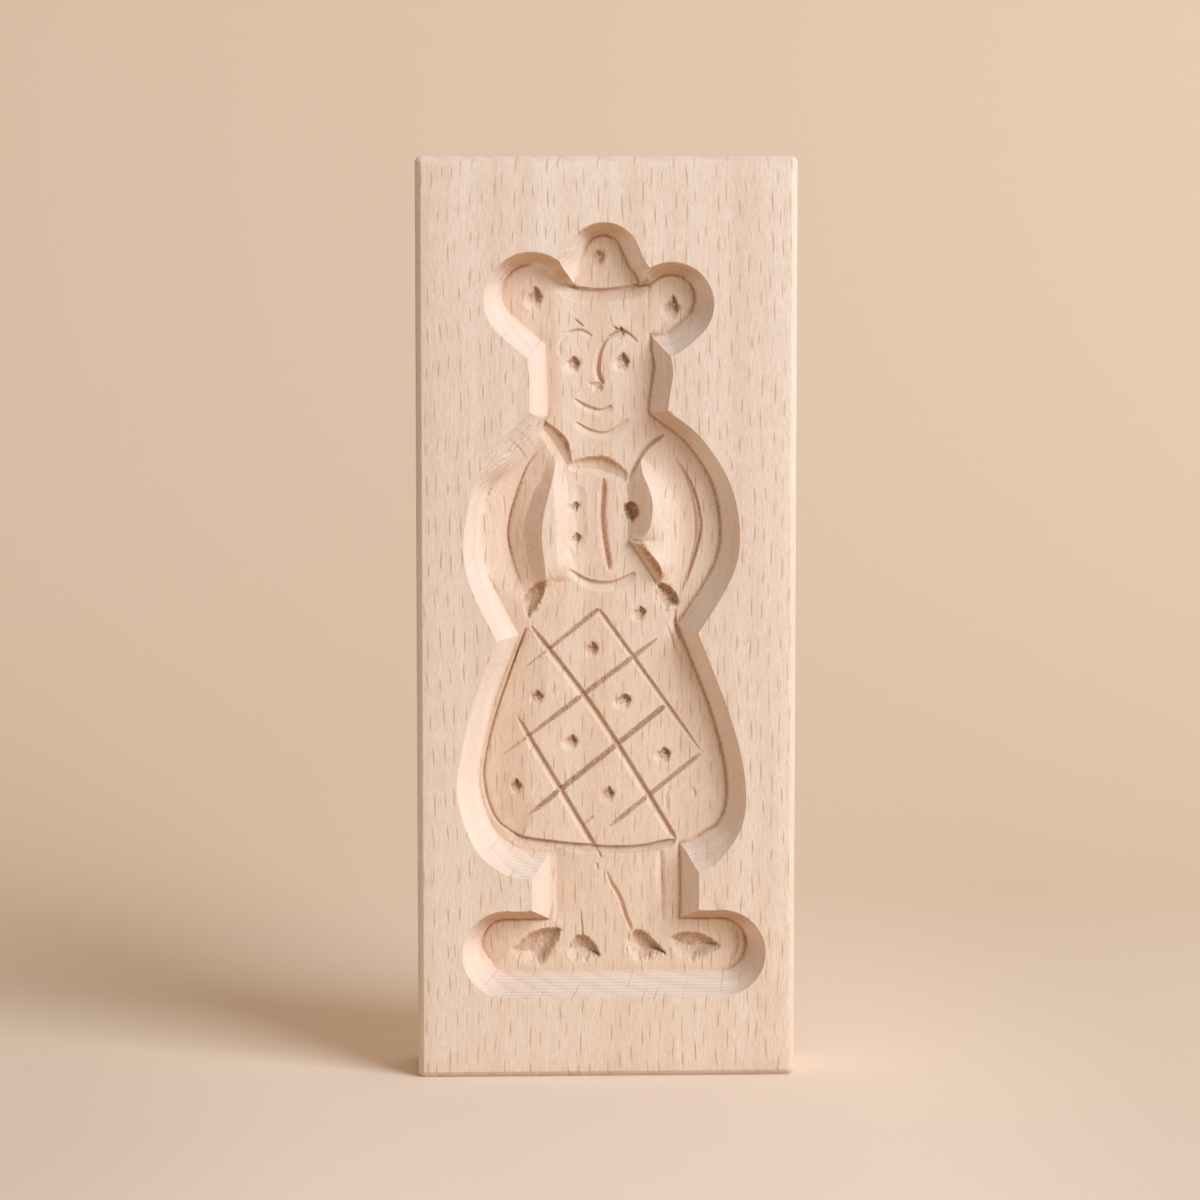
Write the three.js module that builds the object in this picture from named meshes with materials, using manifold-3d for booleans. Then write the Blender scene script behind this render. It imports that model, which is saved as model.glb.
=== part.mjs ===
// Speculaas board: one block of beech with the hollow figure of a doll cut into its front face.
// Millimetres. +Z is up, +X is to the right as seen from the front, and the carved face looks along -Y.
// The origin lies under the middle of the block, on the surface that it stands on.

import * as THREE from 'three';
import { mergeVertices } from 'three/addons/utils/BufferGeometryUtils.js';
import Module from 'manifold-3d';

// The block
const BOARD_WIDTH = 82;
const BOARD_HEIGHT = 200;
const BOARD_THICKNESS = 24;
const EASED_EDGE = 1.2; // flat taken off the edges of the front and back faces
const CORNER_RADIUS = 1.5; // of the four corners, seen from the front
const CORNER_STEPS = 4;

// Flat wood left between the figure and the block's edges
const MARGIN_LEFT = 8.7;
const MARGIN_RIGHT = 6.3;
const MARGIN_TOP = 14.1;
const MARGIN_BOTTOM = 17.5;

// The recess: its floor, and walls that lean out all round
const RECESS_DEPTH = 6.5;
const WALL_DRAFT = 30; // degrees that every wall leans from straight-in
const UPWARD_LEAN = 9; // degrees that the whole hollow leans up, so that walls that face up are the flattest
const FOOT_EASING = 0.7; // size of the flat that eases the corner between wall and floor
const OVERCUT = 0.6; // how far a cutter stands out of the surface that it cuts

// The figure is drawn at its nominal size, in x and z on the block's face, and fitted to the margins
const DRAWN = { left: -32.3, right: 34.7, bottom: 17.5, top: 185.9 };
const OUTLINE_STEPS = 5; // per stretch between two outline points
const ARC_STEPS = 18; // per half turn of an arc

// Outline of the hat: a round crown whose sides flare into the buns of hair
const CROWN = { x: -0.6, z: 178, radius: 7.9, from: 25, to: 150 };
const HAT_LEFT = [[-10.3, 177.5], [-11.4, 168]];
const HAT_BOTTOM = [[-7, 157], [5, 157]];
const HAT_RIGHT = [[14, 168], [9.5, 175.9], [8.3, 177.3]];

// Outlines of the two buns of hair: a circle, then a straight run down to the head
const LEFT_BUN = { x: -16.2, z: 169.4, radius: 10.2, from: -20, to: 231 };
const LEFT_BUN_RUN = [[-16.9, 156.6], [-8, 149.5]];
const RIGHT_BUN = { x: 14, z: 168.3, radius: 9.1, from: -50, to: 190 };
const RIGHT_BUN_RUN = [[3, 157.6], [15.6, 157.6]];

// Outline of the head's cheeks, which run straight on into the hair and the shoulders
const HEAD_TOP = [[13.4, 174], [-16.9, 174]];
const HEAD_LEFT = [[-16.9, 156.6], [-16.6, 150.5], [-16.5, 144.8]];
const HEAD_BOTTOM = [[-16.5, 136], [13.2, 136]];
const HEAD_RIGHT = [[13.2, 145.5], [13.7, 149.2], [14.3, 153.5], [13.7, 157.8]];

// Outline of the arms and bodice, from the neck to the hands
const BODY_TOP = [[8, 149.5], [-11.5, 149.5]];
const LEFT_ARM = [[-17, 144.7], [-23.7, 138.1], [-28.8, 128.8], [-30.9, 117], [-29.4, 107.5], [-23.8, 95.9]];
const BODY_BOTTOM = [[-19.5, 88.5], [14.5, 89.5]];
const RIGHT_ARM = [
  [19.7, 97], [25.3, 105.8], [28.4, 113.5], [28.5, 122.5], [26, 131.2], [20.2, 139.8], [14.2, 144.7],
];

// Outline of the skirt, a bell that is closed by the hem's round corners
const SKIRT_TOP = [[17, 104.5], [-20.5, 103.5]];
const SKIRT_LEFT = [
  [-23.8, 95.4], [-28.3, 83.8], [-31.4, 71.5], [-32.3, 61.5], [-28.7, 50.7], [-22.7, 45.1], [-16.1, 43.4],
];
const SKIRT_RIGHT = [[19.5, 44.5], [24.5, 47.5], [29.6, 55.5], [30, 66.2], [26.6, 79.8], [20, 96.8]];

// Outline of the legs, a plain slot between the hem and the shoes
const LEGS = [[-16.2, 60], [-16.2, 27.1], [20.15, 27.1], [20.15, 60]];

// Outline of both shoes in one slot with round ends
const LEFT_SHOE = { x: -21.8, z: 27.1, radius: 9.6, from: 90, to: 270 };
const RIGHT_SHOE = { x: 25.1, z: 27.1, radius: 9.6, from: -90, to: 90 };

// Ridges of wood left standing between each arm and the bodice, as stations from top to bottom
const LEFT_RIDGE = [
  { z: 135.6, left: -11.4, crest: -10.9, right: -10.4, rise: 0.3 },
  { z: 131, left: -13.3, crest: -11.4, right: -8.6, rise: 1.9 },
  { z: 124.5, left: -16.8, crest: -13.2, right: -8.1, rise: 2.6 },
  { z: 117.5, left: -17.5, crest: -13.9, right: -8, rise: 2.7 },
  { z: 112.4, left: -16.8, crest: -13.2, right: -8.2, rise: 2.6 },
  { z: 108.2, left: -15.5, crest: -13.6, right: -11.6, rise: 0.9 },
];
const RIGHT_RIDGE = [
  { z: 134.8, left: 7.2, crest: 7.7, right: 8.2, rise: 0.3 },
  { z: 131.4, left: 5.4, crest: 7.8, right: 10.8, rise: 1.6 },
  { z: 125.5, left: 4.8, crest: 9.9, right: 15, rise: 2.5 },
  { z: 118.2, left: 4.9, crest: 9.7, right: 15.2, rise: 2.6 },
  { z: 113.6, left: 7.2, crest: 11.3, right: 15.4, rise: 2.3 },
  { z: 110.8, left: 8.9, crest: 11.9, right: 14.6, rise: 1.4 },
  { z: 108, left: 10.4, crest: 11, right: 11.8, rise: 0.3 },
];
const RIDGE_STEPS = 3; // per stretch between two stations
const ROOT = 0.3; // how far a ridge's body reaches below the floor

// Sections of the lines cut into the floor with a V tool: the flanks' widths on the left and on the right
// as the line runs, and the depth
const FINE_CUT = { left: 0.5, right: 0.5, depth: 0.6 };
const LIP_CUT = { left: 0.4, right: 1.3, depth: 0.7 };
const HEM_CUT = { left: 0.5, right: 2.1, depth: 1.1 };
const COLLAR_CUT = { left: 1.9, right: 1.7, depth: 1.4 };
const NECKLINE_CUT = { left: 2.8, right: 1.6, depth: 1.4 };
const LACING_CUT = { left: 1.6, right: 0.6, depth: 0.8 };
const LEFT_SLEEVE_CUT = { left: 3.6, right: 4.4, depth: 1.3 };
const RIGHT_SLEEVE_CUT = { left: 0.9, right: 1.6, depth: 0.7 };
const CHECK_CUT = { left: 0.8, right: 0.65, depth: 0.85 };

// The lines themselves, each smooth through its points
const LINES = {
  brim: { cut: HEM_CUT, points: [[-9.9, 174], [-6.8, 171.5], [-1.4, 171.1], [4.4, 172], [8.4, 172.6]] },
  leftEyelid: { cut: FINE_CUT, points: [[-8.7, 161.8], [-5.6, 162.4], [-2.9, 161.3]] },
  rightEyelid: { cut: FINE_CUT, points: [[7, 159.8], [5.1, 161.5], [3.2, 162.1], [0.6, 160.7]] },
  nose: { cut: FINE_CUT, points: [[0.6, 160.7], [-1.2, 157.5], [-1.6, 153.8], [-0.4, 150.8]] },
  mouth: { cut: LIP_CUT, points: [[-7, 147.9], [-3.9, 146], [-0.6, 145.2], [1.3, 146.3]] },
  chin: { cut: LIP_CUT, points: [[-6.4, 142.7], [-2.9, 140.8], [0.9, 140.5], [4.9, 143.3]] },
  leftCollar: { cut: COLLAR_CUT, points: [[-14.3, 142.9], [-11.1, 138.8], [-8.1, 132.8]] },
  rightCollar: { cut: FINE_CUT, points: [[12.6, 139.8], [8.3, 136.3], [5, 130.2]] },
  neckline: { cut: NECKLINE_CUT, points: [[-7.9, 132.7], [-2.5, 132.8], [4.3, 130.6]] },
  lacing: { cut: LACING_CUT, points: [[-0.5, 130.3], [-0.9, 121], [0.6, 110.8]] },
  waist: { cut: HEM_CUT, points: [[-8, 110.7], [-3.4, 108.2], [1.8, 107.9], [6.4, 109.8]] },
  leftSleeve: { cut: LEFT_SLEEVE_CUT, points: [[-14.7, 137.4], [-19.9, 128], [-21.4, 117.4], [-18, 105.5]] },
  rightSleeve: { cut: RIGHT_SLEEVE_CUT, points: [[15.8, 134], [18.9, 125.5], [19.2, 114.9], [16.2, 105.7]] },
  longFallingCheck: { cut: CHECK_CUT, points: [[-16.2, 98.4], [-1.2, 78.4], [15.3, 52.1]] },
  leftFallingCheck: { cut: CHECK_CUT, points: [[-20, 79.6], [-2.7, 50.6]] },
  rightFallingCheck: { cut: CHECK_CUT, points: [[-1.5, 102], [20.6, 71]] },
  topRisingCheck: { cut: CHECK_CUT, points: [[-17.2, 89.5], [-1.5, 102]] },
  longRisingCheck: { cut: CHECK_CUT, points: [[-22.2, 70.1], [11.1, 95.3]] },
  lowRisingCheck: { cut: CHECK_CUT, points: [[-16.6, 56.9], [13.1, 80.8]] },
  rightRisingCheck: { cut: CHECK_CUT, points: [[1, 54.3], [20.9, 70.3]] },
  hem: { cut: LIP_CUT, points: [[-16.6, 52], [-7.6, 50.9], [2, 50.3], [11.7, 51.4]] },
  betweenLegs: { cut: FINE_CUT, points: [[-1.9, 48.2], [1.3, 42], [5, 33.7]] },
  rightLeg: { cut: FINE_CUT, points: [[12.2, 47], [12.2, 33.6]] },
};
const LINE_STEPS = 4; // per stretch between two points of a line
const LINE_END = 0.15; // size of a line's end, as a share of its full size

// Marks of a few gouge strokes: width and height on the floor, depth, and turn in degrees
const BUN_MARK = { width: 2.9, height: 4.5, depth: 1.2, turn: 5 };
const PUPIL = { width: 2.6, height: 3.5, depth: 0.9, turn: 0 };
const SMALL_BUTTON = { width: 1.5, height: 1.6, depth: 0.8, turn: 0 };
const LARGE_BUTTON = { width: 3.1, height: 3.9, depth: 1.2, turn: 0 };
const LEFT_HAND = { width: 2.2, height: 7.6, depth: 1.4, turn: 20 };
const RIGHT_HAND = { width: 5, height: 5.4, depth: 1.6, turn: 0 };
const SKIRT_DOT = { width: 2, height: 2.5, depth: 0.9, turn: 20 };
const SHOE_LEFT_OUT = { width: 11.2, height: 6.4, depth: 1.8, turn: 15 };
const SHOE_LEFT_IN = { width: 7, height: 5, depth: 1.6, turn: -15 };
const SHOE_RIGHT_IN = { width: 8.4, height: 6.2, depth: 1.8, turn: -20 };
const SHOE_RIGHT_OUT = { width: 10.6, height: 6, depth: 1.8, turn: 5 };
const MARKS = [
  { mark: PUPIL, places: [[-1.4, 178.7], [-7, 156.1], [3.7, 156.5]] },
  { mark: BUN_MARK, places: [[-15.4, 170.1], [14.4, 168]] },
  { mark: SMALL_BUTTON, places: [[-6.1, 125], [-5.95, 118.4]] },
  { mark: LARGE_BUTTON, places: [[5.1, 123.2]] },
  { mark: LEFT_HAND, places: [[-15.4, 105.4]] },
  { mark: RIGHT_HAND, places: [[13.2, 105.3]] },
  { mark: SKIRT_DOT, places: [[7.4, 102], [-2.8, 94.2], [-14.8, 83.6], [4.2, 82.7], [-7.3, 73.8]] },
  { mark: SKIRT_DOT, places: [[12.9, 71.2], [-19.4, 64], [0.8, 62.3], [19.2, 61.5]] },
  { mark: SHOE_LEFT_OUT, places: [[-15.1, 28.4]] },
  { mark: SHOE_LEFT_IN, places: [[-4.6, 28.8]] },
  { mark: SHOE_RIGHT_IN, places: [[8.6, 29.4]] },
  { mark: SHOE_RIGHT_OUT, places: [[19.6, 28.9]] },
];
const MARK_SIDES = 7;
const LIP = 0.2; // how far the cutter of a line or mark stands out of the floor

const BEECH = { color: 0xe9cdb3, roughness: 0.75, metalness: 0, flatShading: true };

const SAME_POINT = 0.0001; // two points nearer than this are one
const STRAIGHT_ON = 0.001; // below this, the change of direction at a point is none

const FRONT = -BOARD_THICKNESS / 2;
const FLOOR = FRONT + RECESS_DEPTH;
const FIT_X = (BOARD_WIDTH - MARGIN_LEFT - MARGIN_RIGHT) / (DRAWN.right - DRAWN.left);
const FIT_Z = (BOARD_HEIGHT - MARGIN_TOP - MARGIN_BOTTOM) / (DRAWN.top - DRAWN.bottom);

const wasm = await Module();
wasm.setup();

// A point of the drawing, fitted to the block's margins
function onBoard(x, z) {
  const left = MARGIN_LEFT - BOARD_WIDTH / 2;
  return new THREE.Vector2(left + (x - DRAWN.left) * FIT_X, MARGIN_BOTTOM + (z - DRAWN.bottom) * FIT_Z);
}

// A closed geometry turned into a solid that can be joined and cut
function solidOf(geometry) {
  geometry.deleteAttribute('normal');
  geometry.deleteAttribute('uv');
  const merged = mergeVertices(geometry);
  const vertProperties = merged.attributes.position.array;
  const triVerts = new Uint32Array(merged.index.array);
  return new wasm.Manifold(new wasm.Mesh({ numProp: 3, vertProperties, triVerts }));
}

// A closed solid through rings of equal length, each counter-clockwise as seen from the ring before it
function loft(rings, capOf) {
  const count = rings[0].length;
  const last = (rings.length - 1) * count;
  const faces = [];
  for (let ring = 0; ring < last; ring += count) {
    for (let i = 0; i < count; i += 1) {
      const next = (i + 1) % count;
      faces.push(ring + i, ring + count + i, ring + count + next);
      faces.push(ring + i, ring + count + next, ring + next);
    }
  }
  for (const [a, b, c] of capOf(rings[0])) {
    faces.push(a, b, c);
  }
  for (const [a, b, c] of capOf(rings.at(-1))) {
    faces.push(last + a, last + c, last + b);
  }
  const geometry = new THREE.BufferGeometry().setFromPoints(rings.flat());
  geometry.setIndex(faces);
  return solidOf(geometry);
}

// Triangles that close a ring lying in a plane parallel to the face
function flatCap(ring) {
  return THREE.ShapeUtils.triangulateShape(ring.map((point) => new THREE.Vector2(point.x, point.z)), []);
}

// The one triangle that closes a ring of three points
function triangleCap() {
  return [[0, 1, 2]];
}

// Points along a chain of curves, without the points that two neighbours share
function outlineOf(...curves) {
  const points = curves.flatMap((curve) => curve.getPoints(curve.steps).map((p) => onBoard(p.x, p.y)));
  return points.filter((p, i) => p.distanceTo(points.at(i - 1)) > SAME_POINT);
}

// A chain of straight runs, given by its corners
function straight(points) {
  const path = new THREE.CurvePath();
  for (let i = 1; i < points.length; i += 1) {
    path.add(new THREE.LineCurve(new THREE.Vector2(...points[i - 1]), new THREE.Vector2(...points[i])));
  }
  path.steps = 1;
  return path;
}

// A curve that passes smoothly through its points
function smooth(points) {
  const curve = new THREE.SplineCurve(points.map((point) => new THREE.Vector2(...point)));
  curve.steps = OUTLINE_STEPS * (points.length - 1);
  return curve;
}

// Part of a circle, between two angles counter-clockwise from the right
function arc({ x, z, radius, from, to }) {
  const turn = THREE.MathUtils.degToRad;
  const curve = new THREE.EllipseCurve(x, z, radius, radius, turn(from), turn(to));
  curve.steps = Math.ceil(ARC_STEPS * turn(to - from) / Math.PI);
  return curve;
}

// The outline at a depth below the face, where its walls have drawn in and meet in mitres
function outlineAt(outline, depth, easing = 0) {
  const draft = THREE.MathUtils.degToRad(WALL_DRAFT);
  const inward = depth * Math.tan(draft) + easing;
  const upward = depth * Math.tan(THREE.MathUtils.degToRad(UPWARD_LEAN));
  return outline.map((point, i) => {
    const before = point.clone().sub(outline.at(i - 1)).normalize();
    const after = outline[(i + 1) % outline.length].clone().sub(point).normalize();
    const mitre = after.clone().sub(before);
    if (mitre.length() < STRAIGHT_ON) {
      mitre.set(-after.y, after.x);
    }
    mitre.multiplyScalar(inward / before.cross(mitre));
    return point.clone().add(mitre).add(new THREE.Vector2(0, upward));
  });
}

// One hollow with leaning walls, eased where they meet the floor
function pocket(outline) {
  const levels = [
    [-OVERCUT],
    [RECESS_DEPTH - FOOT_EASING],
    [RECESS_DEPTH, FOOT_EASING / 2],
  ];
  const rings = levels.map(([depth, easing]) =>
    outlineAt(outline, depth, easing).map((p) => new THREE.Vector3(p.x, FRONT + depth, p.y)));
  return loft(rings, flatCap);
}

// A ridge with a sharp crest that stands on the floor, lofted through its stations
function ridge(stations) {
  const lineAt = (side, riseAt) => new THREE.CatmullRomCurve3(stations.map((station) => {
    const place = onBoard(station[side], station.z);
    return new THREE.Vector3(place.x, FLOOR - riseAt(station), place.y);
  }));
  const leftFoot = lineAt('left', () => 0);
  const crest = lineAt('crest', ({ rise }) => rise);
  const rightFoot = lineAt('right', () => 0);
  const steps = RIDGE_STEPS * (stations.length - 1);
  const rings = [];
  for (let i = 0; i <= steps; i += 1) {
    const top = crest.getPoint(i / steps);
    const sunk = 1 + ROOT / (FLOOR - top.y);
    const left = leftFoot.getPoint(i / steps).sub(top).multiplyScalar(sunk).add(top);
    const right = rightFoot.getPoint(i / steps).sub(top).multiplyScalar(sunk).add(top);
    rings.push([left, top, right]);
  }
  return loft(rings, triangleCap);
}

// A groove with a V section along a smooth line on the floor
function groove({ points, cut }) {
  const line = new THREE.SplineCurve(points.map(([x, z]) => onBoard(x, z)));
  const steps = LINE_STEPS * (points.length - 1);
  const rings = [];
  for (let i = 0; i <= steps; i += 1) {
    const size = LINE_END + (1 - LINE_END) * Math.sqrt(Math.sin(Math.PI * i / steps));
    const middle = line.getPoint(i / steps);
    const along = line.getTangent(i / steps);
    const reach = size * (cut.depth + LIP) / cut.depth;
    const leftward = new THREE.Vector2(-along.y, along.x);
    const left = middle.clone().addScaledVector(leftward, reach * cut.left);
    const right = middle.clone().addScaledVector(leftward, -reach * cut.right);
    rings.push([
      new THREE.Vector3(left.x, FLOOR - LIP, left.y),
      new THREE.Vector3(middle.x, FLOOR + cut.depth * size, middle.y),
      new THREE.Vector3(right.x, FLOOR - LIP, right.y),
    ]);
  }
  return loft(rings, triangleCap);
}

// A pointed pit left by a few strokes of a gouge
function gougeMark({ width, height, depth, turn }, [x, z]) {
  const geometry = new THREE.ConeGeometry(1, depth + LIP, MARK_SIDES);
  geometry.scale(width / 2, 1, height / 2);
  geometry.rotateY(THREE.MathUtils.degToRad(turn));
  const place = onBoard(x, z);
  geometry.translate(place.x, FLOOR + (depth - LIP) / 2, place.y);
  return solidOf(geometry);
}

// The hollows that together make the figure, each running on into its neighbours
function figurePockets() {
  return [
    outlineOf(straight(HAT_BOTTOM), straight(HAT_RIGHT), arc(CROWN), straight(HAT_LEFT)),
    outlineOf(arc(LEFT_BUN), straight(LEFT_BUN_RUN)),
    outlineOf(straight(RIGHT_BUN_RUN), arc(RIGHT_BUN)),
    outlineOf(straight(HEAD_TOP), smooth(HEAD_LEFT), straight(HEAD_BOTTOM), smooth(HEAD_RIGHT)),
    outlineOf(straight(BODY_TOP), smooth(LEFT_ARM), straight(BODY_BOTTOM), smooth(RIGHT_ARM)),
    outlineOf(straight(SKIRT_TOP), smooth(SKIRT_LEFT), smooth(SKIRT_RIGHT)),
    outlineOf(straight(LEGS)),
    outlineOf(arc(LEFT_SHOE), arc(RIGHT_SHOE)),
  ].map(pocket);
}

// The block, with its outline's corners rounded and the edges of its two faces eased
function block() {
  const outline = new THREE.Shape();
  const right = BOARD_WIDTH / 2;
  const high = BOARD_HEIGHT - CORNER_RADIUS;
  outline.absarc(right - CORNER_RADIUS, CORNER_RADIUS, CORNER_RADIUS, -Math.PI / 2, 0);
  outline.absarc(right - CORNER_RADIUS, high, CORNER_RADIUS, 0, Math.PI / 2);
  outline.absarc(CORNER_RADIUS - right, high, CORNER_RADIUS, Math.PI / 2, Math.PI);
  outline.absarc(CORNER_RADIUS - right, CORNER_RADIUS, CORNER_RADIUS, Math.PI, 1.5 * Math.PI);
  const geometry = new THREE.ExtrudeGeometry(outline, {
    depth: BOARD_THICKNESS - 2 * EASED_EDGE,
    curveSegments: CORNER_STEPS,
    bevelThickness: EASED_EDGE,
    bevelSize: EASED_EDGE,
    bevelOffset: -EASED_EDGE,
    bevelSegments: 1,
  });
  geometry.translate(0, 0, EASED_EDGE - BOARD_THICKNESS / 2);
  geometry.rotateX(Math.PI / 2);
  return solidOf(geometry);
}

// The figure's whole recess: the hollows less the ridges, with the lines and marks in its floor
function figureRecess() {
  const ridges = [LEFT_RIDGE, RIGHT_RIDGE].map(ridge);
  const marks = MARKS.flatMap(({ mark, places }) => places.map((place) => gougeMark(mark, place)));
  const hollow = figurePockets().reduce((whole, pocketSolid) => whole.add(pocketSolid));
  const floorRelief = ridges.reduce((whole, ridgeSolid) => whole.subtract(ridgeSolid), hollow);
  const lines = Object.values(LINES).map(groove);
  return [...lines, ...marks].reduce((whole, cutter) => whole.add(cutter), floorRelief);
}

// The carved block as a mesh in bare, fine-sanded beech
function board() {
  const { vertProperties, triVerts } = block().subtract(figureRecess()).getMesh();
  const geometry = new THREE.BufferGeometry();
  geometry.setAttribute('position', new THREE.BufferAttribute(vertProperties, 3));
  geometry.setIndex(new THREE.BufferAttribute(triVerts, 1));
  const mesh = new THREE.Mesh(geometry, new THREE.MeshStandardMaterial(BEECH));
  mesh.name = 'board';
  return mesh;
}

const group = new THREE.Group();
group.add(board());

export default group;
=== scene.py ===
"""A speculaas board of pale beech: its carved relief, tool marks and grain, standing in a plain soft studio.

Everything on the board is drawn in millimetres as (x, z) on its front, which looks along -Y. A depth runs
into the wood from the front face.
"""
import math

import bmesh
import bpy
import numpy as np
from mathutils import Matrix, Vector, kdtree
from mathutils.geometry import delaunay_2d_cdt


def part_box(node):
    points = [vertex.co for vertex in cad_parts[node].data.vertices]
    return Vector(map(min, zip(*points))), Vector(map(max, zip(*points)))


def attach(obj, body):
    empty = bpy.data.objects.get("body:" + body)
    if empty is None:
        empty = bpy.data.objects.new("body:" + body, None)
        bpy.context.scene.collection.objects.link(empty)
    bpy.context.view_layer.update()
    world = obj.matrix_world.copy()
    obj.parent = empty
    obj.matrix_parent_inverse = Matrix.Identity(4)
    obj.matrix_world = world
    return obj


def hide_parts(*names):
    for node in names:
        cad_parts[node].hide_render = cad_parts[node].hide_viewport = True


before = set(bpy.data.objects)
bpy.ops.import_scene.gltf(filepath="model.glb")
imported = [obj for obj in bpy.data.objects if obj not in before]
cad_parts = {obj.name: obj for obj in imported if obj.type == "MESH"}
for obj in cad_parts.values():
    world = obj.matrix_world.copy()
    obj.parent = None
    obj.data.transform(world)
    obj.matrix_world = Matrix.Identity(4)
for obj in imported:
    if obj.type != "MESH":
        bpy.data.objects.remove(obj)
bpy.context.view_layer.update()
BLOCK_LOW, BLOCK_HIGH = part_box("board")

# The block
BOARD_WIDTH = 82.0
BOARD_HEIGHT = 200.0
BOARD_THICKNESS = 24.0
CORNER_RADIUS = 1.5
SMALLEST_RADIUS = 0.25  # of a corner, however far in its outline is
CORNER_STEPS = 8
EDGE_STEP = 2.0  # between the points along the block's straight edges
# Section of an eased edge: how far in from the side, and how far back from the face
EASED_EDGE = [(1.34, 0.0), (1.24, 0.03), (1.14, 0.1), (0.1, 1.14), (0.03, 1.24), (0.0, 1.34)]

# The recess
RECESS_DEPTH = 6.5
WALL_LEAN = math.tan(math.radians(30))  # outward, for each millimetre of depth
UPWARD_DRIFT = math.tan(math.radians(9))  # of a whole hollow, for each millimetre of depth
WALL_ROUNDS = 4  # of working out where a leaning wall stands
SKIRT_FLATTER = 0.2  # how much wider the wall on the skirt's left is
SKIRT_FLATTER_FROM = 12  # how far left of the board's middle it starts to widen, and over what way
SKIRT_FLATTER_RUN = 10
FOOT_SOFTNESS = 0.12  # size of the soft corner between wall and floor
FOOT_GROOVE = 0.55  # depth of the groove that the cutter's tip left along it
FOOT_GROOVE_WIDTH = 0.9
# Towards a wall on the right the floor curves up, and towards one on the left it falls away
RIGHT_RISE = 0.3
RIGHT_REACH = 2
LEFT_FALL = 0.55
LEFT_REACH = 3.5
FLOOR_UNEVENNESS = 0.1
STROKE_END_WIDTH = 0.15  # beside its full width
MACHINED_FROM = 1.5  # how far above the floor a wall is fully machined
PAINTED_SHADE_ABOVE = 0.2  # how far up the walls the painted brown shade reaches
TINY = 0.01  # divides in place of a distance that may be nothing

# The mesh
FINE = 0.4  # between points on the carved surface
FINER = 0.27  # the same in torn pits
ALONG = 0.42  # between points along a carved edge
COARSE = 4.0  # on flat wood
KEPT_CLEAR = 0.5  # of a step, between a new point and those already there
KEPT_CLEAR_FLAT = 0.6  # the same on flat wood
RIM_GAP = 0.8 * FINE  # between the rim and a row of points outside it
WIDE_FLANK = 3  # one that fades into the floor, so that its mesh needs no edge
BATCH = 4000  # places worked on at once
SAME_POINT = 1e-4  # closer points of an outline are one
WELD = 1e-5  # and so are closer points of a triangulation
ONE_CORNER = 1e-6  # and, in metres, closer corners of the finished mesh
SHARP_ANGLE = math.radians(34)


def spline(points, closed=False):
    """Points along a smooth curve through the given ones."""
    points = np.array(points, float)
    if closed:
        points = np.vstack([points[-1:], points, points[:2]])
    else:
        points = np.vstack([points[:1], points, points[-1:]])
    a, b, c, d = points[:-3], points[1:-2], points[2:-1], points[3:]
    run = []
    for i in range(len(b)):
        steps = max(2, math.ceil(np.linalg.norm(c[i] - b[i]) / ALONG))
        t = np.arange(steps)[:, None] / steps
        start, end = (c[i] - a[i]) / 2, (d[i] - b[i]) / 2
        rise = 2 * b[i] - 2 * c[i] + start + end
        bend = 3 * c[i] - 3 * b[i] - 2 * start - end
        run.append(rise * t**3 + bend * t**2 + start * t + b[i])
    if not closed:
        run.append(points[-1:])
    return np.vstack(run)


def straight(points):
    """Points along a chain of straight runs."""
    points = np.array(points, float)
    run = []
    for a, b in zip(points[:-1], points[1:]):
        steps = max(1, math.ceil(np.linalg.norm(b - a) / ALONG))
        run.append(a + (b - a) * np.arange(steps)[:, None] / steps)
    run.append(points[-1:])
    return np.vstack(run)


def arc(x, z, radius, start, end):
    """Points along part of a circle, counter-clockwise, with the angles in degrees."""
    start, end = math.radians(start), math.radians(end)
    angle = np.linspace(start, end, math.ceil(radius * (end - start) / ALONG) + 1)
    return np.stack([x + radius * np.cos(angle), z + radius * np.sin(angle)], 1)


def outline(*runs):
    """One closed outline from several runs, without the points that two neighbours share."""
    points = np.vstack(runs)
    gap = np.linalg.norm(points - np.roll(points, 1, 0), axis=1)
    return points[gap > SAME_POINT]


# The outlines of the figure's hollows on the board's face, counter-clockwise
HAT = outline(
    straight([(-7, 157), (5, 157), (14, 168), (9.5, 175.9), (8.3, 177.3)]),
    arc(-0.6, 178, 7.9, 25, 140),
    spline([(-6.65, 183.08), (-8.5, 180.5), (-10, 178), (-11, 174.6), (-11.4, 168)]),
    straight([(-11.4, 168), (-7, 157)]),
)
LEFT_BUN = outline(arc(-16.2, 169.4, 10.2, -20, 231), straight([(-16.9, 156.6), (-8, 149.5), (-6.6, 165.9)]))
RIGHT_BUN = outline(
    spline([(5, 156.6), (10.5, 156.6), (14, 157.2), (15.4, 157.8), (17.4, 159.2), (19.85, 161.33)]),
    arc(14, 168.3, 9.1, -50, 190),
)
HEAD = outline(
    straight([(13.4, 175.3), (-6.5, 175.3), (-10.6, 177.6), (-16.9, 177.6), (-16.9, 156.6)]),
    spline([(-16.9, 156.6), (-16.6, 150.5), (-16.5, 144.8)]),
    straight([(-16.5, 136), (13.2, 136)]),
    spline([(13.2, 145.5), (13.7, 149.2), (14.3, 153.5), (13.7, 157.8)]),
)
BODY = outline(
    straight([(8, 149.5), (-11.5, 149.5), (-17, 144.7)]),
    spline([(-17, 144.7), (-23.7, 138.1), (-28.8, 128.8), (-30.9, 117), (-29.4, 107.5), (-23.8, 95.9)]),
    straight([(-19.5, 88.5), (14.5, 89.5)]),
    spline([
        (19.7, 97), (25.3, 105.8), (28.4, 113.5), (28.5, 122.5), (26, 131.2), (20.2, 139.8), (14.2, 144.7),
    ]),
)
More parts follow.
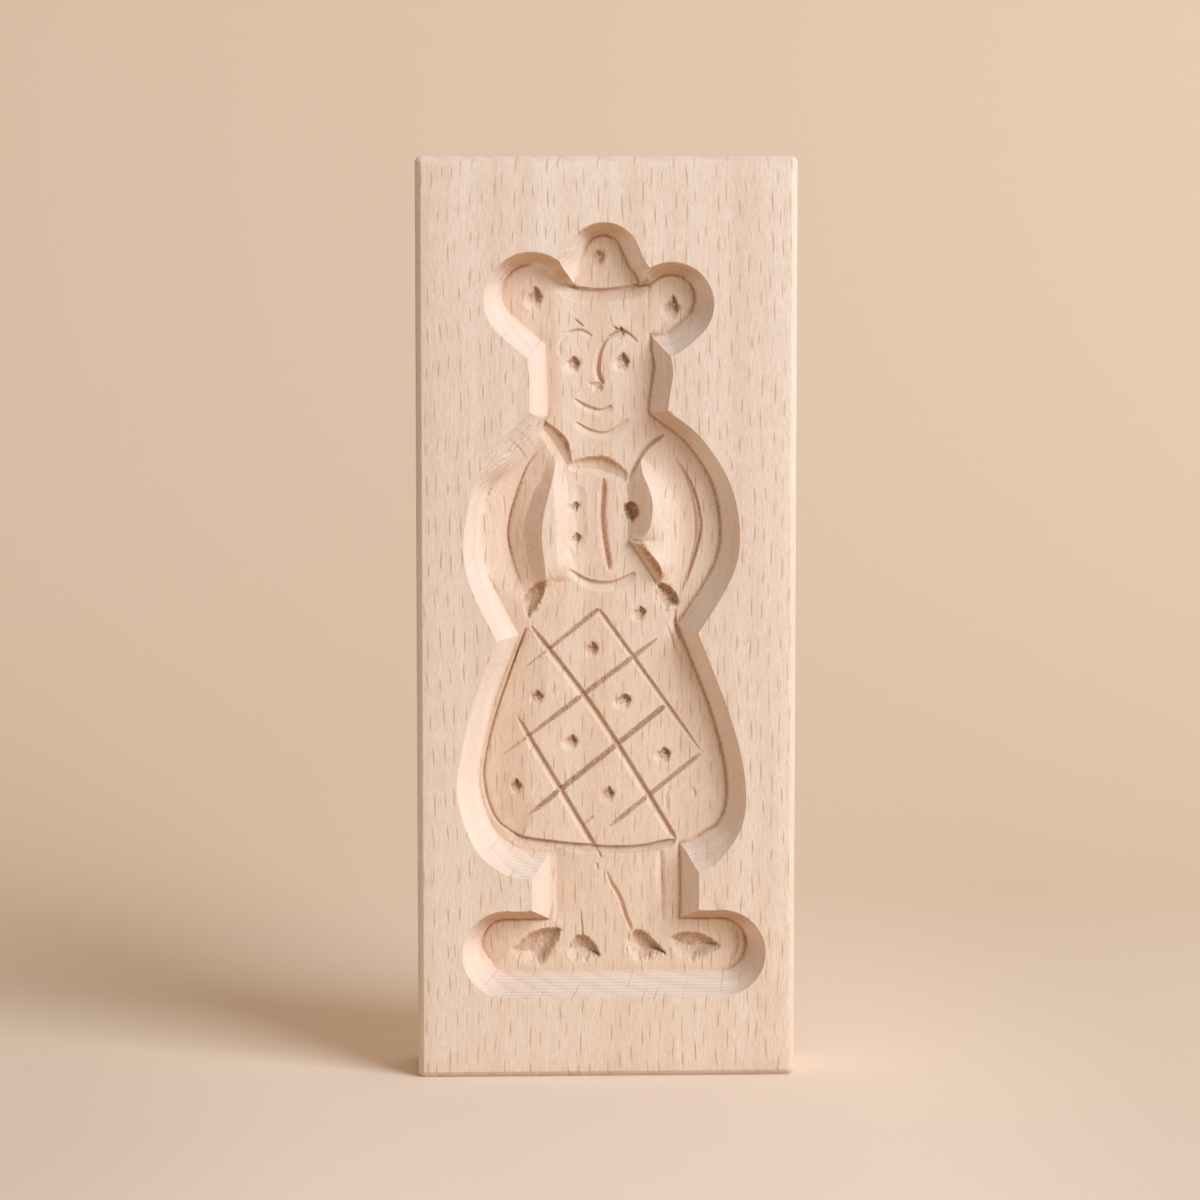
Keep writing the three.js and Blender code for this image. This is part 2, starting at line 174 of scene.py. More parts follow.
SKIRT = outline(
    straight([(17, 104.5), (-20.5, 103.5)]),
    spline([
        (-23.8, 95.4), (-28.3, 83.8), (-31.4, 71.5), (-32.3, 61.5), (-28.7, 50.7), (-22.7, 45.1),
        (-16.1, 43.4),
    ]),
    spline([(19.5, 44.5), (24.5, 47.5), (29.6, 55.5), (30, 66.2), (26.6, 79.8), (20, 96.8)]),
)
LEGS = outline(straight([(-16.2, 60), (-16.2, 27.1), (20.15, 27.1), (20.15, 60), (-16.2, 60)]))
SHOES = outline(arc(-21.8, 27.1, 9.6, 90, 270), arc(25.1, 27.1, 9.6, -90, 90))
POCKETS = [HAT, LEFT_BUN, RIGHT_BUN, HEAD, BODY, SKIRT, LEGS, SHOES]

# Where a wall was pared down to a softer slope: its hollow, the middle and size of the place, how much wider
# the wall is there, and how soft its foot is
PARED_WALLS = [
    (HAT, (-10.5, 177.0), 8.5, 0.45, 1.8),
    (BODY, (-21.5, 138.5), 12.0, 0.8, 2.4),
    (SKIRT, (21.0, 47.5), 8.5, 0.5, 0.2),
]

# Lines of the modelled sleeves, from left to right: (x, z, how far it stands above the floor)
LEFT_SLEEVE = {
    "wall foot": [(-17.5, 141, 0), (-22.5, 133, 0.1), (-27, 122, 0.2), (-26.8, 112, 0.2), (-21, 103, 0)],
    "groove": [
        (-13.8, 138.4, 0), (-14.6, 136.6, -0.5), (-16.3, 134, -1.1), (-19.2, 128.8, -1.7),
        (-20.7, 122.5, -1.9), (-21, 116.5, -1.9), (-20.2, 111.4, -1.7), (-18.3, 107.2, -0.8),
        (-16.7, 104.6, 0),
    ],
    "crease": [
        (-12.6, 138, 0), (-12.9, 136.5, -0.2), (-13.4, 131, 0), (-15.6, 127.5, 0.1), (-17.5, 121, 0.2),
        (-17.2, 114, 0.2), (-15.7, 108.7, 0),
    ],
    "crest": [
        (-10.9, 135.8, 0), (-11.1, 132.6, 1.3), (-11.9, 128.8, 2.6), (-13.2, 124, 3.3),
        (-13.9, 118.2, 3.5), (-13.3, 112.4, 3.3), (-13, 109.2, 2.6), (-13.2, 106.8, 0),
    ],
    "shoulder": [
        (-10.7, 135.8, 0), (-10.9, 132.6, 1.25), (-11.2, 128.8, 2.5), (-11, 124, 3.1),
        (-10.9, 118.2, 3.2), (-10.6, 112.4, 2.7), (-10.6, 109.6, 1.4), (-10.8, 108, 0),
    ],
    "bodice edge": [(-9.4, 134.5, 0), (-8.5, 130.5, 0), (-8, 125, 0), (-7.9, 116, 0), (-6.3, 111.4, 0)],
}
RIGHT_SLEEVE = {
    "bodice edge": [
        (7.2, 135.2, 0), (5.1, 130.2, 0), (4.8, 123, 0), (4.8, 119, 0), (4.9, 117.2, 0), (5.3, 116.5, 0),
        (6.9, 114.2, 0), (9.1, 110.9, 0), (11.2, 107.4, 0),
    ],
    "crest": [
        (7.5, 135.2, 0), (8, 131.8, 2), (9.4, 128.1, 3.3), (10.1, 124.8, 3.8), (9.9, 121.8, 3.8),
        (9.4, 119.8, 3.5), (8.2, 118, 2.9), (5.9, 117.1, 2.3), (5.6, 116.8, 2.2), (7.6, 116, 2.6),
        (10.4, 113.6, 3.3), (12, 111.2, 3.2), (11.9, 109, 2), (11.5, 107.6, 0),
    ],
    "bright flank": [
        (7.8, 135.2, 0), (9.6, 131.8, 0.9), (11.8, 127.6, 1.5), (12.7, 124, 1.7), (12.6, 119, 1.8),
        (12.8, 115, 1.8), (13.3, 111.5, 1.4), (12.6, 108, 0),
    ],
    "flank foot": [
        (8.2, 135, 0), (11.3, 131.6, 0), (13.9, 128.8, 0), (15.6, 124, 0), (16, 116, 0), (14, 108, 0),
    ],
    "groove": [
        (14.8, 135.6, 0), (15.9, 133.5, -0.6), (17.9, 129.4, -1.1), (19.3, 123.9, -1.4),
        (19.6, 118, -1.4), (18.5, 112.5, -1.1), (17, 107.5, -0.6), (16.4, 105.4, 0),
    ],
    "groove edge": [
        (15.1, 135.6, 0), (16.3, 133.5, 0), (18.6, 129.4, 0), (20.2, 123.9, 0), (20.5, 118, 0),
        (19.2, 112.5, 0), (17.4, 107.5, 0), (16.6, 105.4, 0),
    ],
}


def stroke(points, depth, left, right, fall=1.0, ends=(0.25, 0.25), torn_and_shade=0.0, steep=None, brown=0.6):
    """A cut along a smooth line: its depth, the widths of its flanks on the left and right as it runs, how
    hollow these are, over what shares of its length it starts and ends, how frayed its wood is, how hollow
    the flank on its upper right is if that differs, and how much painted brown shade that flank, facing away
    from the key lamp, gets."""
    return {
        "line": spline(points), "depth": depth, "left": left, "right": right, "fall": fall,
        "ends": ends, "torn_and_shade": torn_and_shade, "steep": steep or fall, "brown": brown,
    }


BRIM = [
    (-9.6, 175.4), (-8.9, 173.2), (-7.2, 171.9), (-4.3, 171.3), (-0.7, 171.1), (2.9, 171.4), (5.8, 172),
    (7.8, 172.7), (9.1, 173.6),
]
COLLAR = [(-14.9, 142.6), (-13, 140.6), (-11, 138), (-9.5, 135.2), (-8.1, 132.8)]
SKIRT_FACET = [(-17.2, 98), (-24.2, 78), (-26.6, 66), (-24.2, 56.4), (-18.6, 51.8)]
HEM = [
    (-20.5, 53.2), (-17.8, 51.8), (-11.3, 50.8), (-4.9, 50.1), (1.5, 49.6), (8, 49.8), (12.9, 50.8),
    (15.4, 51.1),
]
STROKES = [
    # Hat and face
    stroke(BRIM, 1.4, 0.6, 2.9, ends=(0.05, 0.15), torn_and_shade=0.2, brown=0.8),
    stroke([(-6.8, 165), (-4.7, 163.3)], 0.6, 0.4, 0.3),
    stroke([(-8.8, 161.7), (-5.6, 162.4), (-2.8, 161.2)], 0.55, 0.6, 0.9, fall=1.2, brown=0.7),
    stroke([(-8.3, 161.7), (-9.8, 159.6), (-9.8, 156.6)], 0.25, 0.9, 0.7, brown=0),
    stroke([(7, 159.9), (5.3, 161.5), (3.3, 162.3), (0.6, 161)], 0.65, 0.9, 0.5,
           fall=1.2, ends=(0.3, 0.05), torn_and_shade=0.4),
    stroke([(0.9, 161.3), (-0.9, 158.4), (-1.6, 153.8), (-0.4, 150.8)], 1.25, 0.7, 1.2,
           fall=1.1, ends=(0.6, 0.1), brown=0.8),
    stroke([(1.5, 163.4), (3.3, 162.3)], 0.5, 0.4, 0.5, ends=(0.3, 0.1), torn_and_shade=0.8),
    stroke([(-7, 147.9), (-3.9, 146), (-0.6, 145.2), (1.4, 146.4)], 0.8, 0.5, 1.4,
           fall=1.3, ends=(0.35, 0.1), brown=0.7),
    stroke([(-6.4, 142.7), (-2.9, 140.8), (0.9, 140.5), (4.9, 143.4)], 0.75, 0.4, 1.8, fall=1.4),
    # Collar and bodice
    stroke(COLLAR, 1.9, 2.8, 1.8, fall=1.1, ends=(0.5, 0.4), torn_and_shade=0.1, steep=0.35, brown=1.5),
    stroke([(12.8, 140), (8.3, 136.3), (5, 130.2)], 0.95, 0.6, 0.7,
           fall=1.1, ends=(0.2, 0.2), torn_and_shade=0.3, brown=0.8),
    stroke([(-8, 132.7), (-2.5, 132.4), (0.8, 131.7), (4.6, 130)], 1.8, 3.1, 1.6,
           fall=0.9, ends=(0.5, 0.4), torn_and_shade=0.1, steep=0.4, brown=1.5),
    stroke([(-0.5, 130.6), (-0.9, 121), (0.7, 110.4)], 0.9, 1.2, 0.8,
           fall=1.2, ends=(0.15, 0.1), torn_and_shade=0.2, brown=0.8),
    stroke([(-6, 129), (-6.1, 114.5)], 0.5, 2, 1.9, fall=0.8, ends=(0.2, 0.2), brown=0.1),
    stroke([(-8, 110.8), (-3.4, 108.2), (1.8, 107.8), (6.5, 110)], 1.15, 0.5, 2.1,
           fall=1.1, ends=(0.35, 0.15)),
    # The thin lines where the tool's corner ran along the sleeves
    stroke([(-14.6, 136.4), (-17.4, 132.3), (-20.7, 122.3), (-21, 116.4), (-18.4, 107.4)], 0.5, 0.5, 0.3,
           torn_and_shade=0.4, brown=1),
    stroke([(4.9, 117.2), (6.9, 114.2), (9.1, 110.9), (11.2, 107.4)], 0.5, 2.6, 0.4,
           ends=(0.2, 0.1), torn_and_shade=0.1, steep=0.75, brown=1.6),
    stroke([(-13.4, 131.6), (-15.6, 127.5), (-17.5, 121), (-17.2, 114), (-15.7, 108.7)], 0.1, 4.6, 0.4,
           brown=0.25),
    stroke([(5.1, 130.2), (4.8, 123), (4.8, 118)], 0.1, 5.2, 0.3, ends=(0.1, 0.1), brown=0.15),
    stroke([(16.2, 133.6), (18.6, 129), (20.1, 123.9), (20.4, 118), (17.4, 107.5)], 0.75, 0.6, 0.3,
           torn_and_shade=0.4, brown=1),
    stroke([(15.3, 102), (15.3, 98.2), (16.4, 95.2)], 0.6, 0.4, 1.5, ends=(0.3, 0.3), brown=0.8),
    stroke([(13.5, 98.4), (14.8, 94.2), (16.7, 89.6)], 0.35, 0.5, 0.9, ends=(0.3, 0.5)),
    # Skirt
    stroke([(-16.2, 98.4), (-1.2, 78.4), (15.5, 51.2)], 1.1, 0.65, 1.3,
           ends=(0.1, 0.05), torn_and_shade=0.2, brown=0.55),
    stroke([(-20, 79.8), (-2.6, 50.4), (-1.8, 48.6)], 1.1, 0.65, 1.3,
           ends=(0.15, 0.1), torn_and_shade=0.15, brown=0.55),
    stroke([(-1.5, 102), (20.8, 70.7)], 0.85, 0.6, 0.9, ends=(0.05, 0.3), torn_and_shade=0.25),
    stroke([(-17.4, 89.2), (-1.5, 102)], 0.6, 0.6, 0.6, fall=0.8, ends=(0.6, 0.05), torn_and_shade=0.9),
    stroke([(-22.2, 70.1), (11.3, 95.5)], 0.65, 0.65, 0.65, fall=0.8, ends=(0.4, 0.2), torn_and_shade=0.95),
    stroke([(-16.8, 56.8), (13.1, 80.8)], 0.75, 0.7, 0.7, fall=0.8, ends=(0.15, 0.05), torn_and_shade=1),
    stroke([(0.8, 54.1), (20.9, 70.3)], 0.6, 0.6, 0.6, fall=0.8, ends=(0.15, 0.15), torn_and_shade=0.85),
    stroke([(-5, 54.6), (-2.4, 56.6)], 0.35, 0.5, 0.5, ends=(0.3, 0.3), torn_and_shade=0.4),
    stroke([(14.3, 64), (13.3, 61), (13.4, 57.6)], 0.25, 0.6, 0.5, brown=0.2),
    stroke(HEM, 1.2, 0.5, 1.7, ends=(0.02, 0.06), torn_and_shade=0.35),
    # Legs
    stroke([(-1.9, 46.2), (-1.8, 44.4)], 0.4, 0.5, 0.5),
    stroke([(0.2, 44.4), (1.1, 41.7), (3, 38.1), (4.3, 34.2), (5.6, 31)], 0.75, 0.9, 0.45, ends=(0.3, 0.1)),
    stroke([(12, 49), (12.2, 40), (12.4, 33.2)], 0.6, 1.3, 1.1, fall=1.2, ends=(0.2, 0.5), brown=0.3),
    stroke([(-5.4, 36), (-5, 30.2)], 0.6, 0.35, 0.35, ends=(0.7, 0.05)),
    # Wide shallow hollows, where the floor was pared last
    stroke(SKIRT_FACET, 1.2, 9, 0.5, fall=0.95, ends=(0.25, 0.05), brown=0.15),
    stroke(SKIRT_FACET, 1.6, 0.6, 0.5, ends=(0.1, 0.02), torn_and_shade=0.2, brown=0.55),
    stroke([(-25.5, 33), (-27.3, 28), (-24.5, 23.5)], 0.6, 6, 0.5, fall=1.1, ends=(0.2, 0.1), brown=0.15),
    stroke([(-10.6, 50), (-10.6, 33)], 0.9, 5, 2.8, fall=1.1, ends=(0.2, 0.2), brown=0),
    stroke([(28, 33), (28.8, 28), (27.6, 24)], 0.35, 0.8, 0.8, ends=(0.3, 0.3), torn_and_shade=0.2, brown=0.7),
]


def gouge(points, depth, run, torn_and_shade=1.0, ragged=0.3, even=0.1):
    """A pit scooped inside a smooth outline: its depth, how far its sides run in before they reach it, how
    frayed its wood is, how far its edge wanders from the outline, and how much of the frayed brown its lit
    lower left keeps beside the rest, as that brown is laid on heavier on the upper right as painted shade."""
    return {
        "outline": spline(points, closed=True), "depth": depth, "run": run, "torn_and_shade": torn_and_shade, "ragged": ragged,
        "even": even,
    }


def oval(x, z, across, up, sizes=(1,) * 6, start=0):
    """Points round a middle, each at its own size beside the oval's half width and half height."""
    points = []
    for i, size in enumerate(sizes):
        angle = math.radians(start + 360 / len(sizes) * i)
        points.append((x + across * size * math.cos(angle), z + up * size * math.sin(angle)))
    return points


def stab(x, z, width, height, depth, spike=0.2):
    """A ragged pit, with a point at its top, frayed wood around it and a shallow scoop at its lower left."""
    uneven = np.random.default_rng(round(abs(10 * x) + 100 * z)).uniform(0.92, 1.1, 8)
    uneven *= [1, 0.96] * 4
    uneven[0] += spike
    pit = oval(x, z, width / 2, height / 2, uneven, start=90)
    halo = oval(x, z, 0.62 * width, 0.62 * height)
    scoop = oval(x - 0.28 * width, z - 0.32 * height, 0.72 * width, 0.62 * height)
    small = min(width, height)
    return [
        gouge(pit, depth, 0.45 * small, torn_and_shade=1.3, ragged=0.22, even=0.5),
        gouge(halo, 0.15, 0.4 * small, torn_and_shade=0.6, ragged=0.4, even=0.7),
        gouge(scoop, 0.6 * depth, 0.5 * small, torn_and_shade=0.1, ragged=0.1),
    ]


GOUGES = [
    *stab(-1.4, 178.2, 2.8, 3.2, 0.5, 0.1),
    *stab(-15.1, 169.7, 3.1, 3.4, 1.3, 0.4),
    *stab(14.6, 167.5, 2.8, 3.4, 1.4, 0.7),
    *stab(-6.8, 155.4, 2.7, 2.8, 1.1, 0.3),
    *stab(3.9, 155.8, 2.7, 2.9, 1.2, 0.4),
    *stab(3.3, 162, 2.4, 1.9, 0.7, 0.5),
    *stab(-6.5, 124.3, 2, 2.1, 1),
    *stab(-6.2, 117.5, 2.1, 2.3, 1),
    gouge([(3.5, 123.2), (4.2, 124.8), (5.5, 125.5), (6.7, 125), (7.2, 123.2), (6.6, 121.3), (5.1, 120.7),
           (3.9, 121.5)], 2.3, 1.3, torn_and_shade=1.3, even=0.6),
    gouge([(-3.4, 151), (-1, 151.3), (-0.5, 149.6), (-2.9, 148.4)], 0.95, 0.9, torn_and_shade=0.1),
    gouge([(-13.2, 108.6), (-12.9, 106.8), (-14.4, 102.8), (-16.9, 99.9), (-18.2, 102.6), (-16.6, 106.6)],
          1.7, 1.3, torn_and_shade=0.75, even=0.6),
    gouge([(10.7, 107), (12.5, 107.7), (14.8, 106.3), (16, 104), (15.1, 102.1), (12.8, 102), (10.9, 104.2)],
          1.9, 1.7, torn_and_shade=1.1, even=0.6),
    *stab(7.6, 101.2, 2.5, 2.6, 1),
    *stab(-2.8, 93.4, 2.5, 2.6, 1),
    *stab(-14.9, 82.8, 2.6, 2.6, 1.1),
    *stab(4.2, 81.9, 2.9, 2.7, 1.1),
    *stab(-7.3, 73, 2.5, 2.6, 1),
    *stab(12.9, 70.1, 2.7, 2.7, 1.1),
    *stab(-19.5, 63.2, 2.6, 3, 1.2),
    *stab(0.8, 61.4, 2.4, 2.7, 0.9),
    gouge([(18.6, 62.8), (19.6, 62.6), (20, 61), (19.2, 60), (18.4, 61.2)], 0.3, 0.6, torn_and_shade=0.2, ragged=0.1),
    gouge([(-9.6, 31.4), (-13.4, 31.8), (-17.4, 30.2), (-20.8, 26.6), (-18.6, 23.8), (-14.4, 23.2),
           (-11.4, 27)], 2.2, 2.5, torn_and_shade=0.75),
    gouge([(-7.2, 29.6), (-4.9, 30.4), (-2.6, 28.8), (-1, 25.4), (-3.8, 24.6), (-8, 24.8), (-8.7, 27)],
          2, 1.8, torn_and_shade=0.75),
    gouge([(5.2, 30.4), (7.6, 31.4), (9.8, 29.8), (13.4, 26), (10.8, 25), (6.6, 24.2), (4.4, 27.4)],
          2.2, 2.1, torn_and_shade=0.75),
    gouge([(14, 29.6), (18, 30.9), (22, 30.1), (25.4, 27.6), (22.4, 25.2), (18.4, 23.8), (14.8, 26)],
          2.2, 2.5, torn_and_shade=0.75),
]


def nearest(where, starts, ends):
    """For each place, its distance from the nearest of some straight pieces, that piece's number and, as a
    fraction of it, how far along it is, its side (1 is left of the piece's run) and its offset."""
    along = ends - starts
    length2 = (along**2).sum(1)
    parts = []
    for first in range(0, len(where), BATCH):
        some = where[first:first + BATCH]
        reach = some @ along.T - (starts * along).sum(1)
        t = np.clip(reach / length2, 0, 1)
        gap = (some**2).sum(1)[:, None] - 2 * some @ starts.T + (starts**2).sum(1)
        best = (gap - 2 * t * reach + t * t * length2).argmin(1)
        t = t[np.arange(len(best)), best]
        out = some - starts[best]
        offset = out - t[:, None] * along[best]
        side = np.sign(along[best, 0] * out[:, 1] - along[best, 1] * out[:, 0])
        parts.append(np.column_stack([np.linalg.norm(offset, axis=1), best + t, side, offset]))
    found = np.vstack(parts) if parts else np.empty((0, 5))
    return found[:, 0], found[:, 1], found[:, 2], found[:, 3:]


def inside(where, *loops):
    """Which places lie inside at least one of some closed outlines."""
    result = np.zeros(len(where), bool)
    for loop in loops:
        within = np.zeros(len(where), bool)
        for a, b in zip(loop, np.roll(loop, -1, 0)):
            if a[1] == b[1]:
                continue
            crosses = (a[1] > where[:, 1]) != (b[1] > where[:, 1])
            at = a[0] + (b[0] - a[0]) * (where[:, 1] - a[1]) / (b[1] - a[1])
            within ^= crosses & (where[:, 0] < at)
        result |= within
    return result


def closed(loop):
    """An outline's points with the first one again at the end."""
    return np.vstack([loop, loop[:1]])


def around(where, line, margin):
    """The numbers of the places that lie in a line's box, widened by a margin."""
    low, high = line.min(0) - margin, line.max(0) + margin
    return np.flatnonzero(((where > low) & (where < high)).all(1))


def rim():
    """The straight pieces of the hollows' outlines that lie in no neighbour."""
    starts, ends = [], []
    for loop in POCKETS:
        following = np.roll(loop, -1, 0)
        hidden = inside((loop + following) / 2, *[other for other in POCKETS if other is not loop])
        starts.append(loop[~hidden])
        ends.append(following[~hidden])
    return np.vstack(starts), np.vstack(ends)


def leftward(along):
    """Directions at a right angle to some others, on their left."""
    return np.stack([-along[:, 1], along[:, 0]], 1) / np.linalg.norm(along, axis=1)[:, None]


def outside_rim():
    """Places on the flat face in a row along the rim, a little way outside it."""
    starts, ends = rim()
    row = (starts + ends) / 2 - RIM_GAP * leftward(ends - starts)
    row = row[~inside(row, *POCKETS)]
    # Not those that crowd another part of the rim
    return row[nearest(row, starts, ends)[0] > 0.8 * RIM_GAP]


def inset(where, loop):
    """How far inside a closed outline each place is, and its offset from the outline."""
    distance, _, _, offset = nearest(where, loop, np.roll(loop, -1, 0))
    return np.where(inside(where, loop), distance, -distance), offset


def wall(where, loop):
    """Depth of one hollow's leaning walls."""
    deep, wider = np.zeros((2, len(where)))
    if loop is SKIRT:
        wider += SKIRT_FLATTER * smooth_step((-where[:, 0] - SKIRT_FLATTER_FROM) / SKIRT_FLATTER_RUN)
    for hollow, middle, size, extra, _ in PARED_WALLS:
        if hollow is loop:
            wider += extra * closeness(where, middle, size)
    slope = WALL_LEAN * (1 + wider)
    for _ in range(WALL_ROUNDS):
        lowered = where - np.stack([np.zeros(len(where)), deep * UPWARD_DRIFT], 1)
        deep = np.clip(inset(lowered, loop)[0] / slope, 0, 2 * RECESS_DEPTH)
    return deep


def closeness(where, middle, size):
    """From 0 at some distance from a middle to 1 well inside it."""
    return smooth_step(1.4 * (1 - np.linalg.norm(where - middle, axis=1) / size))


def foot_softness(where):
    """Size of the soft corner between wall and floor at each place."""
    return FOOT_SOFTNESS + sum(soft * closeness(where, at, size) for _, at, size, _, soft in PARED_WALLS)


def floor_edge(where):
    """How much deeper the floor is near the walls, and how far they face away from the key lamp."""
    starts, ends = rim()
    distance, _, _, offset = nearest(where - (0, RECESS_DEPTH * UPWARD_DRIFT), starts, ends)
    past_foot = np.maximum(distance - RECESS_DEPTH * WALL_LEAN, 0)
    on_right = -offset[:, 0] / np.maximum(distance, TINY)
    rise = RIGHT_RISE * np.clip(on_right, 0, 1) * np.clip(1 - past_foot / RIGHT_REACH, 0, 1) ** 2
    fall = LEFT_FALL * np.clip(-on_right, 0, 1) * np.clip(1 - past_foot / LEFT_REACH, 0, 1)
    below = -offset[:, 1] / np.maximum(distance, TINY)
    # The foot's groove and its painted brown shade go with walls that face left or down, away from the key
    # lamp, and not where the foot is soft
    away_from_key = np.clip(0.1 + 0.9 * np.maximum(on_right, below), 0.05, 1)
    sharp = np.clip(1.5 - foot_softness(where), 0, 1)
    return (fall - rise) * sharp, away_from_key * sharp


def smooth_step(value):
    """From 0 to 1 as the value does, with soft ends."""
    value = np.clip(value, 0, 1)
    return value * value * (3 - 2 * value)


def waves(where, size, seed):
    """Smooth random heights between -1 and 1, with bumps of about one size."""
    cells = 64  # each way, before the heights repeat
    table = np.random.default_rng(seed).uniform(-1, 1, (cells, cells))
    at = where / size + 7.3 * seed
    cell = np.floor(at).astype(int)
    along, up = smooth_step(at - cell).T
    x0, z0 = cell.T % cells
    x1, z1 = (cell.T + 1) % cells
    low = table[x0, z0] * (1 - along) + table[x1, z0] * along
    high = table[x0, z1] * (1 - along) + table[x1, z1] * along
    return low * (1 - up) + high * up


def sleeve(where, lines):
    """How far a modelled sleeve stands above the floor."""
    runs = [spline(points)[::-1] for points in lines.values()]
    z = where[:, 1]
    xs = np.stack([np.interp(z, run[:, 1], run[:, 0]) for run in runs], 1)
    rises = np.stack([np.interp(z, run[:, 1], run[:, 2], left=0, right=0) for run in runs], 1)
    rise = np.zeros(len(where))
    for k in range(len(runs) - 1):
        across = (where[:, 0] - xs[:, k]) / np.maximum(xs[:, k + 1] - xs[:, k], TINY)
        within = (across >= 0) & (across < 1)
        rise[within] = (rises[:, k] + across * (rises[:, k + 1] - rises[:, k]))[within]
    return rise


def stroke_size(cut, share):
    """A stroke's size beside its full one, at a share of its length."""
    start, end = cut["ends"]
    return np.sqrt(np.clip(share / start, 0, 1) * np.clip((1 - share) / end, 0, 1))


def stroke_width(size):
    """A stroke's width beside its full one, from its size there."""
    return STROKE_END_WIDTH + (1 - STROKE_END_WIDTH) * size


def toward_upper_right(offset, distance):
    """How far an offset of some length points to the upper right, from -1 to 1."""
    return np.clip(offset.sum(1) / np.maximum(1.4 * distance, TINY), -1, 1)


def stroke_depth(where, cut):
    """Depth that one stroke cuts below the floor, and how much painted brown shade each place gets."""
    distance, place, side, offset = nearest(where, cut["line"][:-1], cut["line"][1:])
    size = stroke_size(cut, place / (len(cut["line"]) - 1))
    width = np.where(side >= 0, cut["left"], cut["right"]) * stroke_width(size)
    share_down = np.clip(1 - distance / width, 0, 1)
    upper_right = np.maximum(toward_upper_right(offset, distance), 0)
    hollow = np.where(upper_right > 0, cut["steep"], cut["fall"])
    hollowness = max(1 - cut["steep"], 0)
    # The brown is painted shade, on the flank that faces the lower left, away from the key lamp
    brown = cut["brown"] * size * np.sqrt(upper_right) * smooth_step((2.5 + 6 * hollowness) * share_down)
    # Where that flank is hollow, only its upper edge is steep and gets the painted brown shade
    brown = brown * (1 - smooth_step(1.3 * share_down)) ** (2 * hollowness)
    return cut["depth"] * size * share_down**hollow, brown


def gouge_depth(where, pit):
    """Depth that one gouge cuts below the floor, and how frayed each place in it is beside its most frayed,
    more so on the upper right, as painted shade.
    """
    clear, offset = inset(where, pit["outline"])
    clear = clear + pit["ragged"] * waves(where * (2.2, 0.8), 0.8, 4)
    # Steep on the upper right, where the gouge went in, and soft on the lower left, where it came out
    upper_right = -toward_upper_right(offset, np.abs(clear))
    inward = np.clip(clear / (pit["run"] * (1 - 0.45 * upper_right)), 0, 1)
    soft = np.clip(0.4 - 0.8 * upper_right, 0, 1)
    deep = pit["depth"] * ((1 - soft) * np.sin(inward * math.pi / 2) + soft * smooth_step(inward))
    # The frayed brown is heavier on the upper right, which faces away from the key lamp: painted shade
    shaded = np.clip(pit["even"] + 0.5 + 0.7 * upper_right, pit["even"], 1)
    return deep, shaded * smooth_step(2.5 * deep / pit["depth"])


def pocket_walls(where):
    """Depths of every hollow's own walls, hollow by hollow."""
    each = np.zeros((len(POCKETS), len(where)))
    for walls, loop in zip(each, POCKETS):
        near = around(where, loop, 0)
        walls[near] = wall(where[near], loop)
    return each


def hollows(where, walls):
    """Depth below the face of the floor with all its cuts, how far each place is past the foot of the walls,
    how frayed the floor is, partly as painted shade, and how much painted brown shade it has."""
    raised = sleeve(where, LEFT_SLEEVE) + sleeve(where, RIGHT_SLEEVE)
    floor = RECESS_DEPTH - raised + FLOOR_UNEVENNESS * waves(where, 7, 1)
    hollow = np.flatnonzero(walls > 0)
    away_from_key, cuts, torn_and_shade, painted_shade = np.zeros((4, len(where)))
    deeper, away_from_key[hollow] = floor_edge(where[hollow])
    floor[hollow] += deeper
    for cut in STROKES:
        near = around(where, cut["line"], max(cut["left"], cut["right"]))
        deep, brown = stroke_depth(where[near], cut)
        painted_shade[near] = np.maximum(painted_shade[near], brown)
        cuts[near] = np.maximum(cuts[near], deep)
        torn_and_shade[near] = np.maximum(torn_and_shade[near], cut["torn_and_shade"] * smooth_step(4 * deep / cut["depth"]))
    for pit in GOUGES:
        near = around(where, pit["outline"], pit["ragged"])
        deep, shaded = gouge_depth(where[near], pit)
        cuts[near] = np.maximum(cuts[near], deep)
        torn_and_shade[near] = np.maximum(torn_and_shade[near], pit["torn_and_shade"] * shaded)
    splinters = 0.09 * waves(where * (1.5, 0.6), 0.5, 2) + 0.1 * waves(where * (1, 0.5), 0.9, 3)
    floor += cuts + torn_and_shade * splinters
    past_foot = (walls - floor) * WALL_LEAN
    groove = np.clip(1 - np.maximum(past_foot, 0) / FOOT_GROOVE_WIDTH, 0, 1)
    # Deeper, and with painted brown shade, at the feet of walls that face away from the key lamp
    groove *= np.clip(away_from_key + 3 * painted_shade, 0, 1) * (np.abs(raised) < 0.05)
    # Frayed brown along those feet, as painted shade
    torn_and_shade = np.maximum(torn_and_shade, 0.7 * smooth_step(1.6 * groove - 0.3) * (past_foot > -0.1))
    return floor + FOOT_GROOVE * groove, past_foot, torn_and_shade, np.maximum(painted_shade, 0.8 * groove)


def carve(where):
    """The carved surface: depth below the face, how machined and how frayed each place is, the frayed brown
    partly painted shade, and how much painted brown shade it has.
    """
    walls = pocket_walls(where).max(0)
    floor, _, torn_and_shade, painted_shade = hollows(where, walls)
    softness = foot_softness(where)
    share = np.clip(0.5 + 0.5 * (floor - walls) / softness, 0, 1)
    depth = np.maximum(floor + (walls - floor) * share - softness * share * (1 - share), 0)
    machined = smooth_step((floor - walls) / MACHINED_FROM) * smooth_step(walls / 0.2)
    painted_shade = painted_shade * (walls > floor - PAINTED_SHADE_ABOVE)
    return depth, {"machined": machined, "torn_and_shade": torn_and_shade, "painted_shade": painted_shade, "depth": depth}


